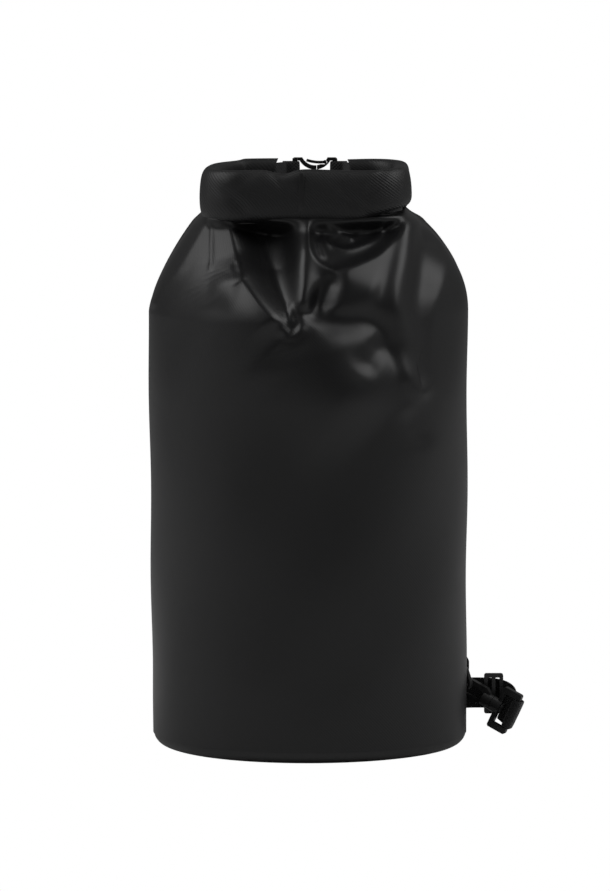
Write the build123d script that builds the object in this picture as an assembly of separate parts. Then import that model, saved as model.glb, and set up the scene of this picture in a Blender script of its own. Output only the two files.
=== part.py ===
from build123d import *
import math
import os

# ---------------------------------------------------------------- driving sizes, in millimetres
# The origin is the centre of the base on the ground, +Z is up and the front faces -Y.

# tube and base
TUBE_RADIUS = 103.0
TUBE_TOP_Z = 282.0
WALL = 1.0
BASE_CORNER = 8.0
BASE_LAP = 14.0
SHEET_GAP = 0.05
SEAM_TAPE_WIDTH = 14.0
SEAM_TAPE_THICKNESS = 0.6
SEAM_TAPE_FOOT = 4.0
SEAM_TAPE_HEAD = 6.0

# rolled closure
ROLL_BOTTOM_Z = 346.0
ROLL_HEIGHT = 32.0
ROLL_THICKNESS = 14.0
ROLL_CORNER = 5.0
LOOP_LEFT = -63.0
LOOP_RIGHT = 60.5
LOOP_FRONT = -45.0
LOOP_BACK = 39.0
LOOP_BEND = 21.0
ROLL_END_LEFT = -26.0
ROLL_END_RIGHT = 33.0
STIFFENER_WIDTH = 25.0
STIFFENER_THICKNESS = 1.2
STIFFENER_SETBACK = 34.0
WEB_TUCK = 6.0
SLOT_CLEARANCE = 0.35
SHOULDER_GAP = 0.3
WELL_FRONT_Z = 338.0
WELL_BACK_Z = 292.0
WELL_OUTSIDE_SLOPE = 0.3
SEAM_RIDGE_X = -4.0
SEAM_RIDGE_WIDTH = 3.0
SEAM_RIDGE_THICKNESS = 0.5

# webbing
WEB_WIDTH = 20.0
WEB_THICKNESS = 1.4
WEB_CLEARANCE = 0.3
WRAP_EASE = 0.01
CLOSURE_WEB_BEND = 3.0
CLOSURE_WEB_LEAD = 4.5
CLOSURE_WEB_REACH = 5.5
CLOSURE_WEB_TAIL = 8.0

# closure buckle
BUCKLE_Y = 52.0
BUCKLE_RISE = 2.5
BUCKLE_HALF_WIDTH = 12.4
BUCKLE_THICKNESS = 5.0
BUCKLE_LEFT = -9.8
BUCKLE_SPLIT = 6.0
BUCKLE_RIGHT = 19.5
BUCKLE_BAR = 3.2
BUCKLE_RAIL = 2.4
BUCKLE_WINDOW_HALF = 10.6
BUCKLE_GAP = 0.3
BUCKLE_CORNER = 1.6
SCOOP_X = 4.9
SCOOP_RADIUS = 9.1
SCOOP_CENTRE_W = 16.3
STEM_HALF = 2.3
PRONG_THICKNESS = 1.6
PRONG_DEPTH = 3.4
PRONG_TIP_X = -0.6
PRONG_ROOT_X = 11.4
PRONG_ROOT_W = 9.6
PRONG_PIVOT_RADIUS = 1.1
PRONG_SPLAY = 1.2
PRONG_BOW = 0.1
PRONG_SIDE_ROOM = 0.9
PRONG_PRESS_ROOM = 3.0

# lash rings
RING_WIRE = 3.0
RING_INSIDE_WIDTH = 20.6
RING_INSIDE_DEPTH = 10.5
LOWER_RING_ANGLE = 22.0
LOWER_RING_Z = 43.8
LOWER_RING_DROP = 72.0
UPPER_RING_ANGLE = 90.0
UPPER_RING_Z = 262.0
UPPER_RING_DROP = 66.0
PATCH_WIDTH = 42.0
PATCH_HEIGHT = 58.0
PATCH_THICKNESS = 0.8
TAB_LENGTH = 26.0
TAB_OUTER_RISE = 5.0
TAB_JOIN_RISE = 11.0
TAB_TAIL_STEP = 1.0
TAB_BEND = 2.2
PATCH_CORNER = 8.0
PATCH_BELOW = 0.42
RING_BEND = 6.0

# snap hooks, in their own frame: the webbing bar is at the origin and the hook reaches towards -X
FRAME_HALF = 14.5
FRAME_ARM = 4.0
FRAME_THICKNESS = 4.4
FRAME_OUTER = 4.2
FRAME_INNER = -9.2
FRAME_BAR = 3.2
YOKE_THICKNESS = 3.2
POST_RADIUS = 2.3
POST_CLEARANCE = 0.06
POST_HEAD_RADIUS = 3.5
POST_HEAD = 1.3
BOSS_RADIUS = 5.0
BOSS_END = -12.6
COLLAR_RADIUS = 4.9
COLLAR_END = -17.2
HOOK_GAP = 0.35
HOOK_TIP = -41.2
HOOK_TOP = 7.6
HOOK_BOTTOM = -6.6
HOOK_SPINE = 3.4
HOOK_LIP = 2.2
HOOK_THICKNESS = 4.4
HOOK_MOUTH = 10.4
GATE_THICKNESS = 1.9
GATE_DEPTH = 3.0
GATE_PIN_RADIUS = 1.0
GATE_OVERLAP = 1.2
HOOK_NOSE = 3.0
HOOK_HOLE_CORNER = 3.4
HOOK_SHANK = 2.6
HOOK_NECK = 2.4
GATE_PIN_SETBACK = 1.4
GATE_EYE_WALL = 1.8
GATE_SLOT_REACH = 6.0
GATE_SLOT_SIDE = 1.2
GATE_SLOT_RISE = 3.4
THUMB_DEPTH = 1.4
THUMB_START = 0.6
THUMB_END = 2.4
FRAME_CORNER = 1.5
LOWER_SLOPE = 26.0
LOWER_YAW = -20.0
LOWER_PLAY = 2.8
LOWER_LIFT = 1.2
UPPER_PLAY = 0.3
UPPER_LIFT = 0.0

# strap and its slider
SLIDER_CENTRE = (122.0, 47.6, 25.2)
SLIDER_LENGTH = 12.5
SLIDER_HALF = 13.2
SLIDER_THICKNESS = 3.0
SLIDER_BAR = 2.4
SLIDER_CORNER = 1.5
SLIDER_SLOT_CORNER = 0.4
SLIDER_SLOT_ROOM = 1.0
STRAP_ROUTE = (
    ((134.4, 47.6, 20.5), 90),
    ((130.6, 51.0, 24.2), 90),
    ((122.5, 50.8, 25.2), 90),
    ((113.5, 52.8, 25.0), 90),
    ((105.0, 58.5, 24.2), 90),
    ((93.0, 70.5, 21.5), 90),
    ((73.0, 89.0, 16.0), 90),
    ((46.0, 105.0, 12.0), 90),
    ((14.0, 120.0, 10.8), 90),
    ((-18.0, 138.0, 10.8), 90),
    ((-38.0, 163.0, 10.8), 90),
    ((-31.0, 189.0, 10.8), 90),
    ((-7.0, 199.0, 10.6), 85),
    ((12.0, 187.0, 9.2), 62),
    ((11.0, 166.0, 5.9), 32),
    ((4.0, 146.0, 3.4), 10),
    ((0.0, 128.0, 6.6), 0),
    ((0.0, 118.0, 19.0), 0),
    ((0.0, 114.0, 46.0), 0),
    ((0.0, 113.0, 100.0), 0),
    ((0.0, 113.0, 160.0), 0),
)

# ---------------------------------------------------------------- derived sizes
ROLL_TOP_Z = ROLL_BOTTOM_Z + ROLL_HEIGHT
ROLL_MID_Z = ROLL_BOTTOM_Z + ROLL_HEIGHT / 2
ROLL_HALF = ROLL_THICKNESS / 2
BUCKLE_Z = ROLL_MID_Z + BUCKLE_RISE
WEB_HALF = WEB_THICKNESS / 2
SEAM_STEP = SEAM_TAPE_THICKNESS + 2 * SHEET_GAP


def save(shape, name):
    """Writes one named piece."""
    export_step(shape, f"parts/{name}.step")


def turned_about_z(shape, degrees):
    return Rot(0, 0, degrees) * shape


def at_angle(radius, degrees, z):
    """The point at a radius and an angle about the bag's axis."""
    angle = math.radians(degrees)
    return (radius * math.cos(angle), radius * math.sin(angle), z)


def box_between(low, high):
    """A box from its lowest to its highest corner."""
    size = [b - a for a, b in zip(low, high)]
    middle = [(a + b) / 2 for a, b in zip(low, high)]
    return Pos(*middle) * Box(*size)


def ring_solid(outer, inner, low, high):
    """A tube about the bag's axis."""
    height = high - low
    middle = (high + low) / 2
    return Pos(0, 0, middle) * (Cylinder(outer, height) - Cylinder(inner, height))


def swept_band(points, radii, thickness, height, z, corner=0.0):
    """A flat band standing on its edge, carried along a plan path with rounded bends."""
    path = FilletPolyline(*[(x, y, z) for x, y in points], radius=radii)
    start = Plane(origin=path @ 0, x_dir=(0, 0, 1), z_dir=path % 0)
    if corner:
        section = start * RectangleRounded(height, thickness, corner)
    else:
        section = start * Rectangle(height, thickness)
    return sweep(section, path=path)


# ---------------------------------------------------------------- bag

def shoulder_outline(inset, z):
    """The plan of the flattened neck just under the roll."""
    left = LOOP_LEFT - ROLL_HALF + inset
    right = LOOP_RIGHT + ROLL_HALF - inset
    front = LOOP_FRONT - ROLL_HALF + inset
    back = LOOP_BACK + ROLL_HALF - inset
    plane = Plane(origin=((left + right) / 2, (front + back) / 2, z))
    return plane * RectangleRounded(right - left, back - front, LOOP_BEND + ROLL_HALF - inset)


def shoulder(inset):
    """The tapered volume from the round tube up to the roll."""
    circle = Plane(origin=(0, 0, TUBE_TOP_Z)) * Circle(TUBE_RADIUS - inset)
    top = shoulder_outline(inset, ROLL_BOTTOM_Z - SHOULDER_GAP - inset)
    return loft([circle, top])


def neck_well(grow):
    """The hollow behind the roll, where the back of the tube folds down between the two arms."""
    left = LOOP_LEFT + ROLL_HALF - grow
    right = LOOP_RIGHT - ROLL_HALF + grow
    front = LOOP_FRONT + ROLL_HALF - grow
    reach = TUBE_RADIUS + 20
    side = Polyline(
        (front, WELL_FRONT_Z - grow),
        (reach, WELL_BACK_Z - grow - (reach - TUBE_RADIUS) * WELL_OUTSIDE_SLOPE),
        (reach, ROLL_TOP_Z),
        (front, ROLL_TOP_Z),
        close=True,
    )
    profile = make_face(Plane.YZ * side)
    return Pos(left, 0, 0) * extrude(profile, right - left, dir=(1, 0, 0))


def body_shell():
    """The welded tube with its shoulders, open at the bottom where the base closes it."""
    low = BASE_CORNER
    outer = Pos(0, 0, (low + TUBE_TOP_Z) / 2) * Cylinder(TUBE_RADIUS, TUBE_TOP_Z - low)
    outer += shoulder(0) - neck_well(0)
    inner_height = TUBE_TOP_Z - low
    inner = Pos(0, 0, (low + TUBE_TOP_Z) / 2) * Cylinder(TUBE_RADIUS - WALL, inner_height)
    inner += shoulder(WALL) - neck_well(WALL)
    return outer - inner


def base_profile(outer, corner, lap_top):
    """Half section of the dished base, from the axis out and up the wall."""
    flat_end = outer - corner
    mid = corner * (1 - math.sqrt(0.5))
    thin = corner - WALL
    mid_in = thin * math.sqrt(0.5)
    lines = Line((0, 0), (flat_end, 0))
    lines += ThreePointArc((flat_end, 0), (outer - mid, mid), (outer, corner))
    lines += Line((outer, corner), (outer, lap_top))
    lines += Line((outer, lap_top), (outer - WALL, lap_top))
    lines += Line((outer - WALL, lap_top), (outer - WALL, corner))
    bend = (flat_end + mid_in, corner - mid_in)
    lines += ThreePointArc((outer - WALL, corner), bend, (flat_end, WALL))
    lines += Line((flat_end, WALL), (0, WALL))
    lines += Line((0, WALL), (0, 0))
    return make_face(Plane.XZ * lines)


def base_disc():
    """The round bottom panel with its rim turned up to meet the tube."""
    return revolve(base_profile(TUBE_RADIUS, BASE_CORNER, BASE_CORNER - SHEET_GAP), Axis.Z)


def base_weld_band():
    """The welded lap inside the foot of the tube."""
    outer = TUBE_RADIUS - WALL - SHEET_GAP
    return ring_solid(outer, outer - WALL, BASE_CORNER + SHEET_GAP, BASE_CORNER + BASE_LAP)


def back_seam_tape():
    """The welded lap that closes the tube up the middle of the back."""
    half = SEAM_TAPE_WIDTH / 2
    outer = TUBE_RADIUS + SHEET_GAP + SEAM_TAPE_THICKNESS
    top = TUBE_TOP_Z - SEAM_TAPE_HEAD
    tube = ring_solid(outer, TUBE_RADIUS + SHEET_GAP, BASE_CORNER + SEAM_TAPE_FOOT, top)
    strip = box_between((-half, 0, 0), (half, 2 * outer, top))
    return tube & strip


# ---------------------------------------------------------------- rolled closure

def loop_points(start_x, end_x):
    """Plan corners of the roll, from its left end round the front to its right end."""
    return [
        (start_x, LOOP_BACK),
        (LOOP_LEFT, LOOP_BACK),
        (LOOP_LEFT, LOOP_FRONT),
        (LOOP_RIGHT, LOOP_FRONT),
        (LOOP_RIGHT, LOOP_BACK),
        (end_x, LOOP_BACK),
    ]


def roll_collar():
    """Three turns of the flattened mouth, bent into a loop and hollow along its core."""
    points = loop_points(ROLL_END_LEFT, ROLL_END_RIGHT)
    roll = swept_band(points, LOOP_BEND, ROLL_THICKNESS, ROLL_HEIGHT, ROLL_MID_Z, ROLL_CORNER)
    slot_width = STIFFENER_WIDTH + 2 * SLOT_CLEARANCE
    slot_thickness = WEB_THICKNESS + 2 * SLOT_CLEARANCE
    past = loop_points(ROLL_END_LEFT + 1, ROLL_END_RIGHT - 1)
    slot = swept_band(past, LOOP_BEND, slot_thickness, slot_width, ROLL_MID_Z)
    return roll - slot


def collar_stiffener():
    """The flat strip welded into the mouth's edge, which the fabric is rolled round."""
    left = LOOP_LEFT + LOOP_BEND
    right = LOOP_RIGHT - LOOP_BEND
    points = [
        (left - LOOP_BEND, LOOP_BACK - STIFFENER_SETBACK),
        (left - LOOP_BEND, LOOP_FRONT),
        (right + LOOP_BEND, LOOP_FRONT),
        (right + LOOP_BEND, LOOP_BACK - STIFFENER_SETBACK),
    ]
    return swept_band(points, LOOP_BEND, STIFFENER_THICKNESS, STIFFENER_WIDTH, ROLL_MID_Z)


def collar_seam_ridge():
    """The tube's lapped seam, brought round to the front of the roll."""
    front = LOOP_FRONT - ROLL_HALF - SHEET_GAP
    height = ROLL_HEIGHT - 2 * ROLL_CORNER
    ridge = Box(SEAM_RIDGE_WIDTH, SEAM_RIDGE_THICKNESS, height)
    return Pos(SEAM_RIDGE_X, front - SEAM_RIDGE_THICKNESS / 2, ROLL_MID_Z) * ridge


# ---------------------------------------------------------------- closure webbing and buckle

def closure_webbing(end_x, bar_x, inward):
    """Webbing from inside one end of the roll, round a buckle bar and back on itself."""
    near = BUCKLE_Y - BUCKLE_BAR / 2 - WEB_CLEARANCE - WEB_HALF
    far = BUCKLE_Y + BUCKLE_BAR / 2 + WEB_CLEARANCE + WEB_HALF
    turn_x = bar_x + inward * (BUCKLE_BAR / 2 + WEB_CLEARANCE + WEB_HALF)
    points = [
        (end_x - inward * WEB_TUCK, LOOP_BACK),
        (end_x + inward * CLOSURE_WEB_LEAD, LOOP_BACK),
        (bar_x - inward * CLOSURE_WEB_REACH, near),
        (turn_x, near),
        (turn_x, far),
        (bar_x - inward * CLOSURE_WEB_TAIL, far),
    ]
    wrap = (far - near) / 2 - WRAP_EASE
    radii = [CLOSURE_WEB_BEND, CLOSURE_WEB_BEND, wrap, wrap]
    return swept_band(points, radii, WEB_THICKNESS, WEB_WIDTH, BUCKLE_Z)


def buckle_plate(low_x, high_x):
    """A flat buckle blank between two places along the closure."""
    middle = (low_x + high_x) / 2
    blank = Plane(origin=(middle, BUCKLE_Y, BUCKLE_Z), x_dir=(1, 0, 0), z_dir=(0, -1, 0))
    sketch = blank * RectangleRounded(high_x - low_x, 2 * BUCKLE_HALF_WIDTH, BUCKLE_CORNER)
    return extrude(sketch, BUCKLE_THICKNESS / 2, both=True)


def finger_scoops(grow):
    """The round finger scoops in the buckle's upper and lower edges."""
    scoops = Cylinder(SCOOP_RADIUS + grow, BUCKLE_THICKNESS * 3, rotation=(90, 0, 0))
    upper = Pos(SCOOP_X, BUCKLE_Y, BUCKLE_Z + SCOOP_CENTRE_W) * scoops
    lower = Pos(SCOOP_X, BUCKLE_Y, BUCKLE_Z - SCOOP_CENTRE_W) * scoops
    return upper + lower


def buckle_window(low_x, high_x):
    """The opening between a buckle's rails, following the scoops' rims."""
    half = BUCKLE_WINDOW_HALF
    low = (low_x, BUCKLE_Y - BUCKLE_THICKNESS, BUCKLE_Z - half)
    high = (high_x, BUCKLE_Y + BUCKLE_THICKNESS, BUCKLE_Z + half)
    return box_between(low, high) - finger_scoops(BUCKLE_RAIL)


def prong_pocket(side):
    """Clearance round a prong's root in the male half."""
    centre = (PRONG_ROOT_X, BUCKLE_Y, BUCKLE_Z + side * PRONG_ROOT_W)
    pocket = Cylinder(PRONG_PIVOT_RADIUS + BUCKLE_GAP, BUCKLE_THICKNESS * 2, rotation=(90, 0, 0))
    reach = PRONG_THICKNESS / 2 + PRONG_SIDE_ROOM
    throat = box_between(
        (SCOOP_X, BUCKLE_Y - BUCKLE_THICKNESS, centre[2] - reach),
        (PRONG_ROOT_X, BUCKLE_Y + BUCKLE_THICKNESS, centre[2] + reach + PRONG_PRESS_ROOM),
    )
    return Pos(*centre) * pocket + throat


def webbing_bar(bar_x):
    """The round bar across one end of the buckle."""
    return Pos(bar_x, BUCKLE_Y, BUCKLE_Z) * Cylinder(BUCKLE_BAR / 2, 2 * BUCKLE_HALF_WIDTH - 1)


def buckle_female():
    """The socket half, with a webbing bar at its left end."""
    body = buckle_plate(BUCKLE_LEFT, BUCKLE_SPLIT - BUCKLE_GAP / 2)
    body -= finger_scoops(0)
    body -= buckle_window(BUCKLE_LEFT - 1, SCOOP_X - STEM_HALF)
    return body + webbing_bar(BUCKLE_LEFT + BUCKLE_BAR / 2)


def buckle_male():
    """The plug half, with a webbing bar at its right end."""
    body = buckle_plate(BUCKLE_SPLIT + BUCKLE_GAP / 2, BUCKLE_RIGHT)
    body -= finger_scoops(0)
    body -= buckle_window(SCOOP_X + STEM_HALF, BUCKLE_RIGHT + 1)
    body -= prong_pocket(1)
    body -= prong_pocket(-1)
    return body + webbing_bar(BUCKLE_RIGHT - BUCKLE_BAR / 2)


def buckle_prong(side):
    """A springy arm that bridges one finger scoop, thin enough to press in."""
    tip_w = PRONG_ROOT_W + PRONG_SPLAY
    middle_x = (PRONG_TIP_X + PRONG_ROOT_X) / 2
    path = ThreePointArc(
        (PRONG_ROOT_X, BUCKLE_Y, BUCKLE_Z + side * PRONG_ROOT_W),
        (middle_x, BUCKLE_Y, BUCKLE_Z + side * (PRONG_ROOT_W - PRONG_BOW)),
        (PRONG_TIP_X, BUCKLE_Y, BUCKLE_Z + side * tip_w),
    )
    start = Plane(origin=path @ 0, x_dir=(0, 1, 0), z_dir=path % 0)
    arm = sweep(start * Rectangle(PRONG_DEPTH, PRONG_THICKNESS), path=path)
    root = Cylinder(PRONG_PIVOT_RADIUS, PRONG_DEPTH, rotation=(90, 0, 0))
    return arm + Pos(*(path @ 0)) * root


# ---------------------------------------------------------------- lash rings, tabs and patches

def lash_patch(degrees, z):
    """A welded reinforcement patch, curved to the tube."""
    outer = TUBE_RADIUS + SHEET_GAP + PATCH_THICKNESS
    if degrees == UPPER_RING_ANGLE:
        outer += SEAM_STEP
    inner = outer - PATCH_THICKNESS
    low = z - PATCH_HEIGHT * PATCH_BELOW
    high = low + PATCH_HEIGHT
    tube = ring_solid(outer, inner, low, high)
    face = Plane(origin=(0, 0, (low + high) / 2), x_dir=(0, 1, 0), z_dir=(1, 0, 0))
    window = extrude(face * RectangleRounded(PATCH_WIDTH, high - low, PATCH_CORNER), 2 * TUBE_RADIUS)
    return turned_about_z(tube & window, degrees)


def bar_radius(degrees):
    """How far a ring's straight bar stands from the bag's axis."""
    patch = TUBE_RADIUS + SHEET_GAP + PATCH_THICKNESS
    if degrees == UPPER_RING_ANGLE:
        patch += SEAM_STEP
    return patch + SHEET_GAP + WEB_THICKNESS + WEB_CLEARANCE + RING_WIRE / 2


def ring_tab(degrees, z):
    """Webbing folded round the ring's bar, with both tails sewn up the patch."""
    radius = bar_radius(degrees)
    wrap = RING_WIRE / 2 + WEB_CLEARANCE + WEB_HALF
    path = FilletPolyline(
        (radius - wrap, 0, z + TAB_LENGTH),
        (radius - wrap, 0, z - wrap),
        (radius + wrap, 0, z - wrap),
        (radius + wrap, 0, z + TAB_OUTER_RISE),
        (radius - wrap + WEB_THICKNESS + SHEET_GAP, 0, z + TAB_JOIN_RISE),
        (radius - wrap + WEB_THICKNESS + SHEET_GAP, 0, z + TAB_LENGTH - TAB_TAIL_STEP),
        radius=[wrap - WRAP_EASE, wrap - WRAP_EASE, TAB_BEND, TAB_BEND],
    )
    start = Plane(origin=path @ 0, x_dir=(0, 1, 0), z_dir=path % 0)
    tab = sweep(start * Rectangle(WEB_WIDTH, WEB_THICKNESS), path=path)
    return turned_about_z(tab, degrees)


def lash_ring(degrees, z, drop):
    """A D ring: a straight bar in the tab and a rounded bow that hangs outwards."""
    half = RING_INSIDE_WIDTH / 2 + RING_WIRE / 2
    depth = RING_INSIDE_DEPTH + RING_WIRE
    corners = [(0, -half, 0), (depth, -half, 0), (depth, half, 0), (0, half, 0)]
    bow = FilletPolyline(*corners, radius=RING_BEND)
    start = Plane(origin=bow @ 0, z_dir=bow % 0)
    ring = sweep(start * Circle(RING_WIRE / 2), path=bow)
    bar = Cylinder(RING_WIRE / 2, 2 * half, rotation=(90, 0, 0))
    ring += bar
    for side in (-1, 1):
        ring += Pos(0, side * half, 0) * Sphere(RING_WIRE / 2)
    hung = Pos(bar_radius(degrees), 0, z) * (Rot(0, drop, 0) * ring)
    return turned_about_z(hung, degrees)


# ---------------------------------------------------------------- snap hooks

def flat_piece(sketch, depth):
    """A plate of a given depth from a sketch drawn in the hook's own X and Z."""
    return extrude(Plane.XZ * sketch, depth / 2, both=True)


def along_x(radius, low, high):
    """A cylinder along the hook's own length."""
    return Pos((low + high) / 2, 0, 0) * Cylinder(radius, high - low, rotation=(0, 90, 0))


def swivel_frame():
    """The webbing frame, with the boss that the hook's post turns in."""
    middle = (FRAME_OUTER + FRAME_INNER) / 2
    length = FRAME_OUTER - FRAME_INNER
    window_low = FRAME_INNER + YOKE_THICKNESS
    outline = Pos(middle, 0) * RectangleRounded(length, 2 * FRAME_HALF, FRAME_CORNER)
    window_middle = (window_low + FRAME_OUTER + 1) / 2
    window_size = (FRAME_OUTER + 1 - window_low, 2 * (FRAME_HALF - FRAME_ARM))
    outline -= Pos(window_middle, 0) * Rectangle(*window_size)
    frame = flat_piece(outline, FRAME_THICKNESS)
    bar = Cylinder(FRAME_BAR / 2, 2 * FRAME_HALF - 2)
    frame += Pos(FRAME_OUTER - FRAME_BAR / 2, 0, 0) * bar
    frame += along_x(BOSS_RADIUS, BOSS_END, window_low)
    frame -= along_x(POST_RADIUS + POST_CLEARANCE, BOSS_END - 1, window_low + 0.5)
    return frame


def hook_outline():
    """The hook's side view: a thick spine, a round nose and a lip under the mouth."""
    height = HOOK_TOP - HOOK_BOTTOM
    length = COLLAR_END - HOOK_TIP + 3
    outer = Pos(HOOK_TIP + length / 2, (HOOK_TOP + HOOK_BOTTOM) / 2)
    blank = outer * RectangleRounded(length, height, height / 2 - 0.2)
    inner_top = HOOK_TOP - HOOK_SPINE
    inner_bottom = HOOK_BOTTOM + HOOK_LIP
    inner_height = inner_top - inner_bottom
    inner_low = HOOK_TIP + HOOK_NOSE
    inner_high = COLLAR_END - HOOK_SHANK
    hole = Pos((inner_low + inner_high) / 2, (inner_top + inner_bottom) / 2)
    blank -= hole * RectangleRounded(inner_high - inner_low, inner_height, HOOK_HOLE_CORNER)
    mouth = Pos(inner_high - HOOK_MOUTH / 2, HOOK_BOTTOM)
    blank -= mouth * Rectangle(HOOK_MOUTH, 2 * HOOK_LIP + 1)
    return blank


def gate_hinge():
    """Where the gate's pin sits, in the hook's own frame."""
    return (COLLAR_END - GATE_PIN_SETBACK, HOOK_BOTTOM + HOOK_LIP + HOOK_GAP + GATE_THICKNESS / 2)


def snap_hook():
    """The hook's body with its collar, swivel post and the post's riveted head."""
    hook = flat_piece(hook_outline(), HOOK_THICKNESS)
    hook += along_x(COLLAR_RADIUS, COLLAR_END - HOOK_NECK, BOSS_END - HOOK_GAP)
    window_low = FRAME_INNER + YOKE_THICKNESS
    hook += along_x(POST_RADIUS, COLLAR_END, window_low + HOOK_GAP + POST_HEAD)
    hook += along_x(POST_HEAD_RADIUS, window_low + HOOK_GAP, window_low + HOOK_GAP + POST_HEAD)
    pin_x, pin_z = gate_hinge()
    slot_depth = GATE_DEPTH + 2 * HOOK_GAP
    slot = box_between(
        (pin_x - GATE_SLOT_REACH, -slot_depth / 2, HOOK_BOTTOM - 1),
        (pin_x + GATE_PIN_RADIUS + GATE_SLOT_SIDE, slot_depth / 2, pin_z + GATE_SLOT_RISE),
    )
    hook -= slot
    pin = Pos(pin_x, 0, pin_z) * Cylinder(GATE_PIN_RADIUS, HOOK_THICKNESS, rotation=(90, 0, 0))
    return hook + pin


def hook_gate():
    """The sprung gate, closed against the inside of the hook's lip."""
    pin_x, pin_z = gate_hinge()
    inner_high = COLLAR_END - HOOK_SHANK
    tip_x = inner_high - HOOK_MOUTH - GATE_OVERLAP
    eye_radius = GATE_EYE_WALL
    blade_low = (tip_x, -GATE_DEPTH / 2, pin_z - GATE_THICKNESS / 2)
    blade_high = (pin_x, GATE_DEPTH / 2, pin_z + GATE_THICKNESS / 2)
    gate = box_between(blade_low, blade_high)
    gate += Pos(pin_x, 0, pin_z) * Cylinder(eye_radius, GATE_DEPTH, rotation=(90, 0, 0))
    bore = Cylinder(GATE_PIN_RADIUS + POST_CLEARANCE, GATE_DEPTH * 2, rotation=(90, 0, 0))
    gate -= Pos(pin_x, 0, pin_z) * bore
    thumb = box_between(
        (inner_high - HOOK_MOUTH + THUMB_START, -GATE_DEPTH / 2, blade_low[2] - THUMB_DEPTH),
        (inner_high - THUMB_END, GATE_DEPTH / 2, pin_z),
    )
    return gate + thumb


def bow_point(degrees, z, drop):
    """The middle of a ring's bow, where a hook's nose bears on it."""
    depth = RING_INSIDE_DEPTH + RING_WIRE
    angle = math.radians(drop)
    radius = bar_radius(degrees) + depth * math.cos(angle)
    return at_angle(radius, degrees, z - depth * math.sin(angle))


def hooked_on(point, turn, play, lift):
    """The place of a hook, turned as given, with a ring's bow in its nose."""
    bight = HOOK_TIP + HOOK_NOSE + RING_WIRE / 2 + play
    return Pos(*point) * turn * Pos(-bight, 0, -lift)


def lower_hook_place():
    """The lower hook lies out to the right with its webbing frame down on the ground."""
    bow = bow_point(LOWER_RING_ANGLE, LOWER_RING_Z, LOWER_RING_DROP)
    turn = Rot(0, 0, LOWER_YAW) * Rot(0, LOWER_SLOPE, 0)
    return hooked_on(bow, turn, LOWER_PLAY, LOWER_LIFT)


def upper_frame_place():
    """The upper webbing frame hangs flat against the back, with its bar along X."""
    bow = bow_point(UPPER_RING_ANGLE, UPPER_RING_Z, UPPER_RING_DROP)
    return hooked_on(bow, Rot(0, 90, 0), UPPER_PLAY, UPPER_LIFT)


def upper_hook_place():
    """The upper hook is a quarter turn round on its swivel, so that it crosses its ring."""
    return upper_frame_place() * Rot(90, 0, 0)


# ---------------------------------------------------------------- strap

def strap_slider():
    """The three-bar slider that sets the strap's length."""
    face = Plane(origin=SLIDER_CENTRE, x_dir=(1, 0, 0), z_dir=(0, -1, 0))
    slot = (SLIDER_LENGTH - 3 * SLIDER_BAR) / 2
    outline = RectangleRounded(SLIDER_LENGTH, 2 * SLIDER_HALF, SLIDER_CORNER)
    for side in (-1, 1):
        opening = RectangleRounded(slot, WEB_WIDTH + SLIDER_SLOT_ROOM, SLIDER_SLOT_CORNER)
        outline -= Pos(side * (SLIDER_BAR + slot) / 2, 0) * opening
    return extrude(face * outline, SLIDER_THICKNESS / 2, both=True)


def strap_section(index):
    """One rectangular section of the strap, square to its route."""
    points = [Vector(*p) for p, _ in STRAP_ROUTE]
    before = points[max(index - 1, 0)]
    after = points[min(index + 1, len(points) - 1)]
    along = (after - before).normalized()
    twist = math.radians(STRAP_ROUTE[index][1])
    level = Vector(0, 0, 1).cross(along)
    if level.length < 0.6:
        level = Vector(1, 0, 0)
    level = level.normalized()
    if level.X < 0:
        level = level * -1
    upright = along.cross(level).normalized()
    if upright.Z < 0:
        upright = upright * -1
    width = level * math.cos(twist) + upright * math.sin(twist)
    width = (width - along * width.dot(along)).normalized()
    return Plane(origin=points[index], x_dir=width, z_dir=along) * Rectangle(WEB_WIDTH, WEB_THICKNESS)


def strap_loop(points, radii):
    """Webbing carried round a frame's bar, in the frame's own X and Y, and its first section."""
    path = FilletPolyline(*[(x, y, 0) for x, y in points], radius=radii)
    start = Plane(origin=path @ 0, x_dir=(0, 0, 1), z_dir=path % 0)
    section = start * Rectangle(WEB_WIDTH, WEB_THICKNESS)
    return sweep(section, path=path), section


def shoulder_strap():
    """The webbing strap: a loop round each frame's bar and one loop on the ground between them."""
    bar_x = FRAME_OUTER - FRAME_BAR / 2
    wrap = FRAME_BAR / 2 + WEB_CLEARANCE + WEB_HALF
    near = bar_x - wrap
    far = bar_x + wrap
    low_points = [(-5, 12.5), (far, 5.5), (far, -wrap), (near, -wrap), (near, 4.2), (-7, 9.2)]
    low_loop, low_start = strap_loop(low_points, [2.0, wrap - 0.01, wrap - 0.01, 2.0])
    tail = WEB_HALF + SHEET_GAP
    high_points = [
        (12, tail), (7.5, tail), (4.6, wrap), (near, wrap),
        (near, -wrap), (4.6, -wrap), (7.5, -tail), (30, -tail),
    ]
    high_loop, high_start = strap_loop(high_points, [2.0, 1.5, wrap - 0.01, wrap - 0.01, 1.5, 2.0])
    lower = lower_hook_place()
    upper = upper_frame_place()
    middle = [strap_section(i) for i in range(len(STRAP_ROUTE))]
    free = loft([lower * low_start, *middle, upper * high_start], ruled=True)
    return free + lower * low_loop + upper * high_loop


# ---------------------------------------------------------------- writing the pieces

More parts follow.
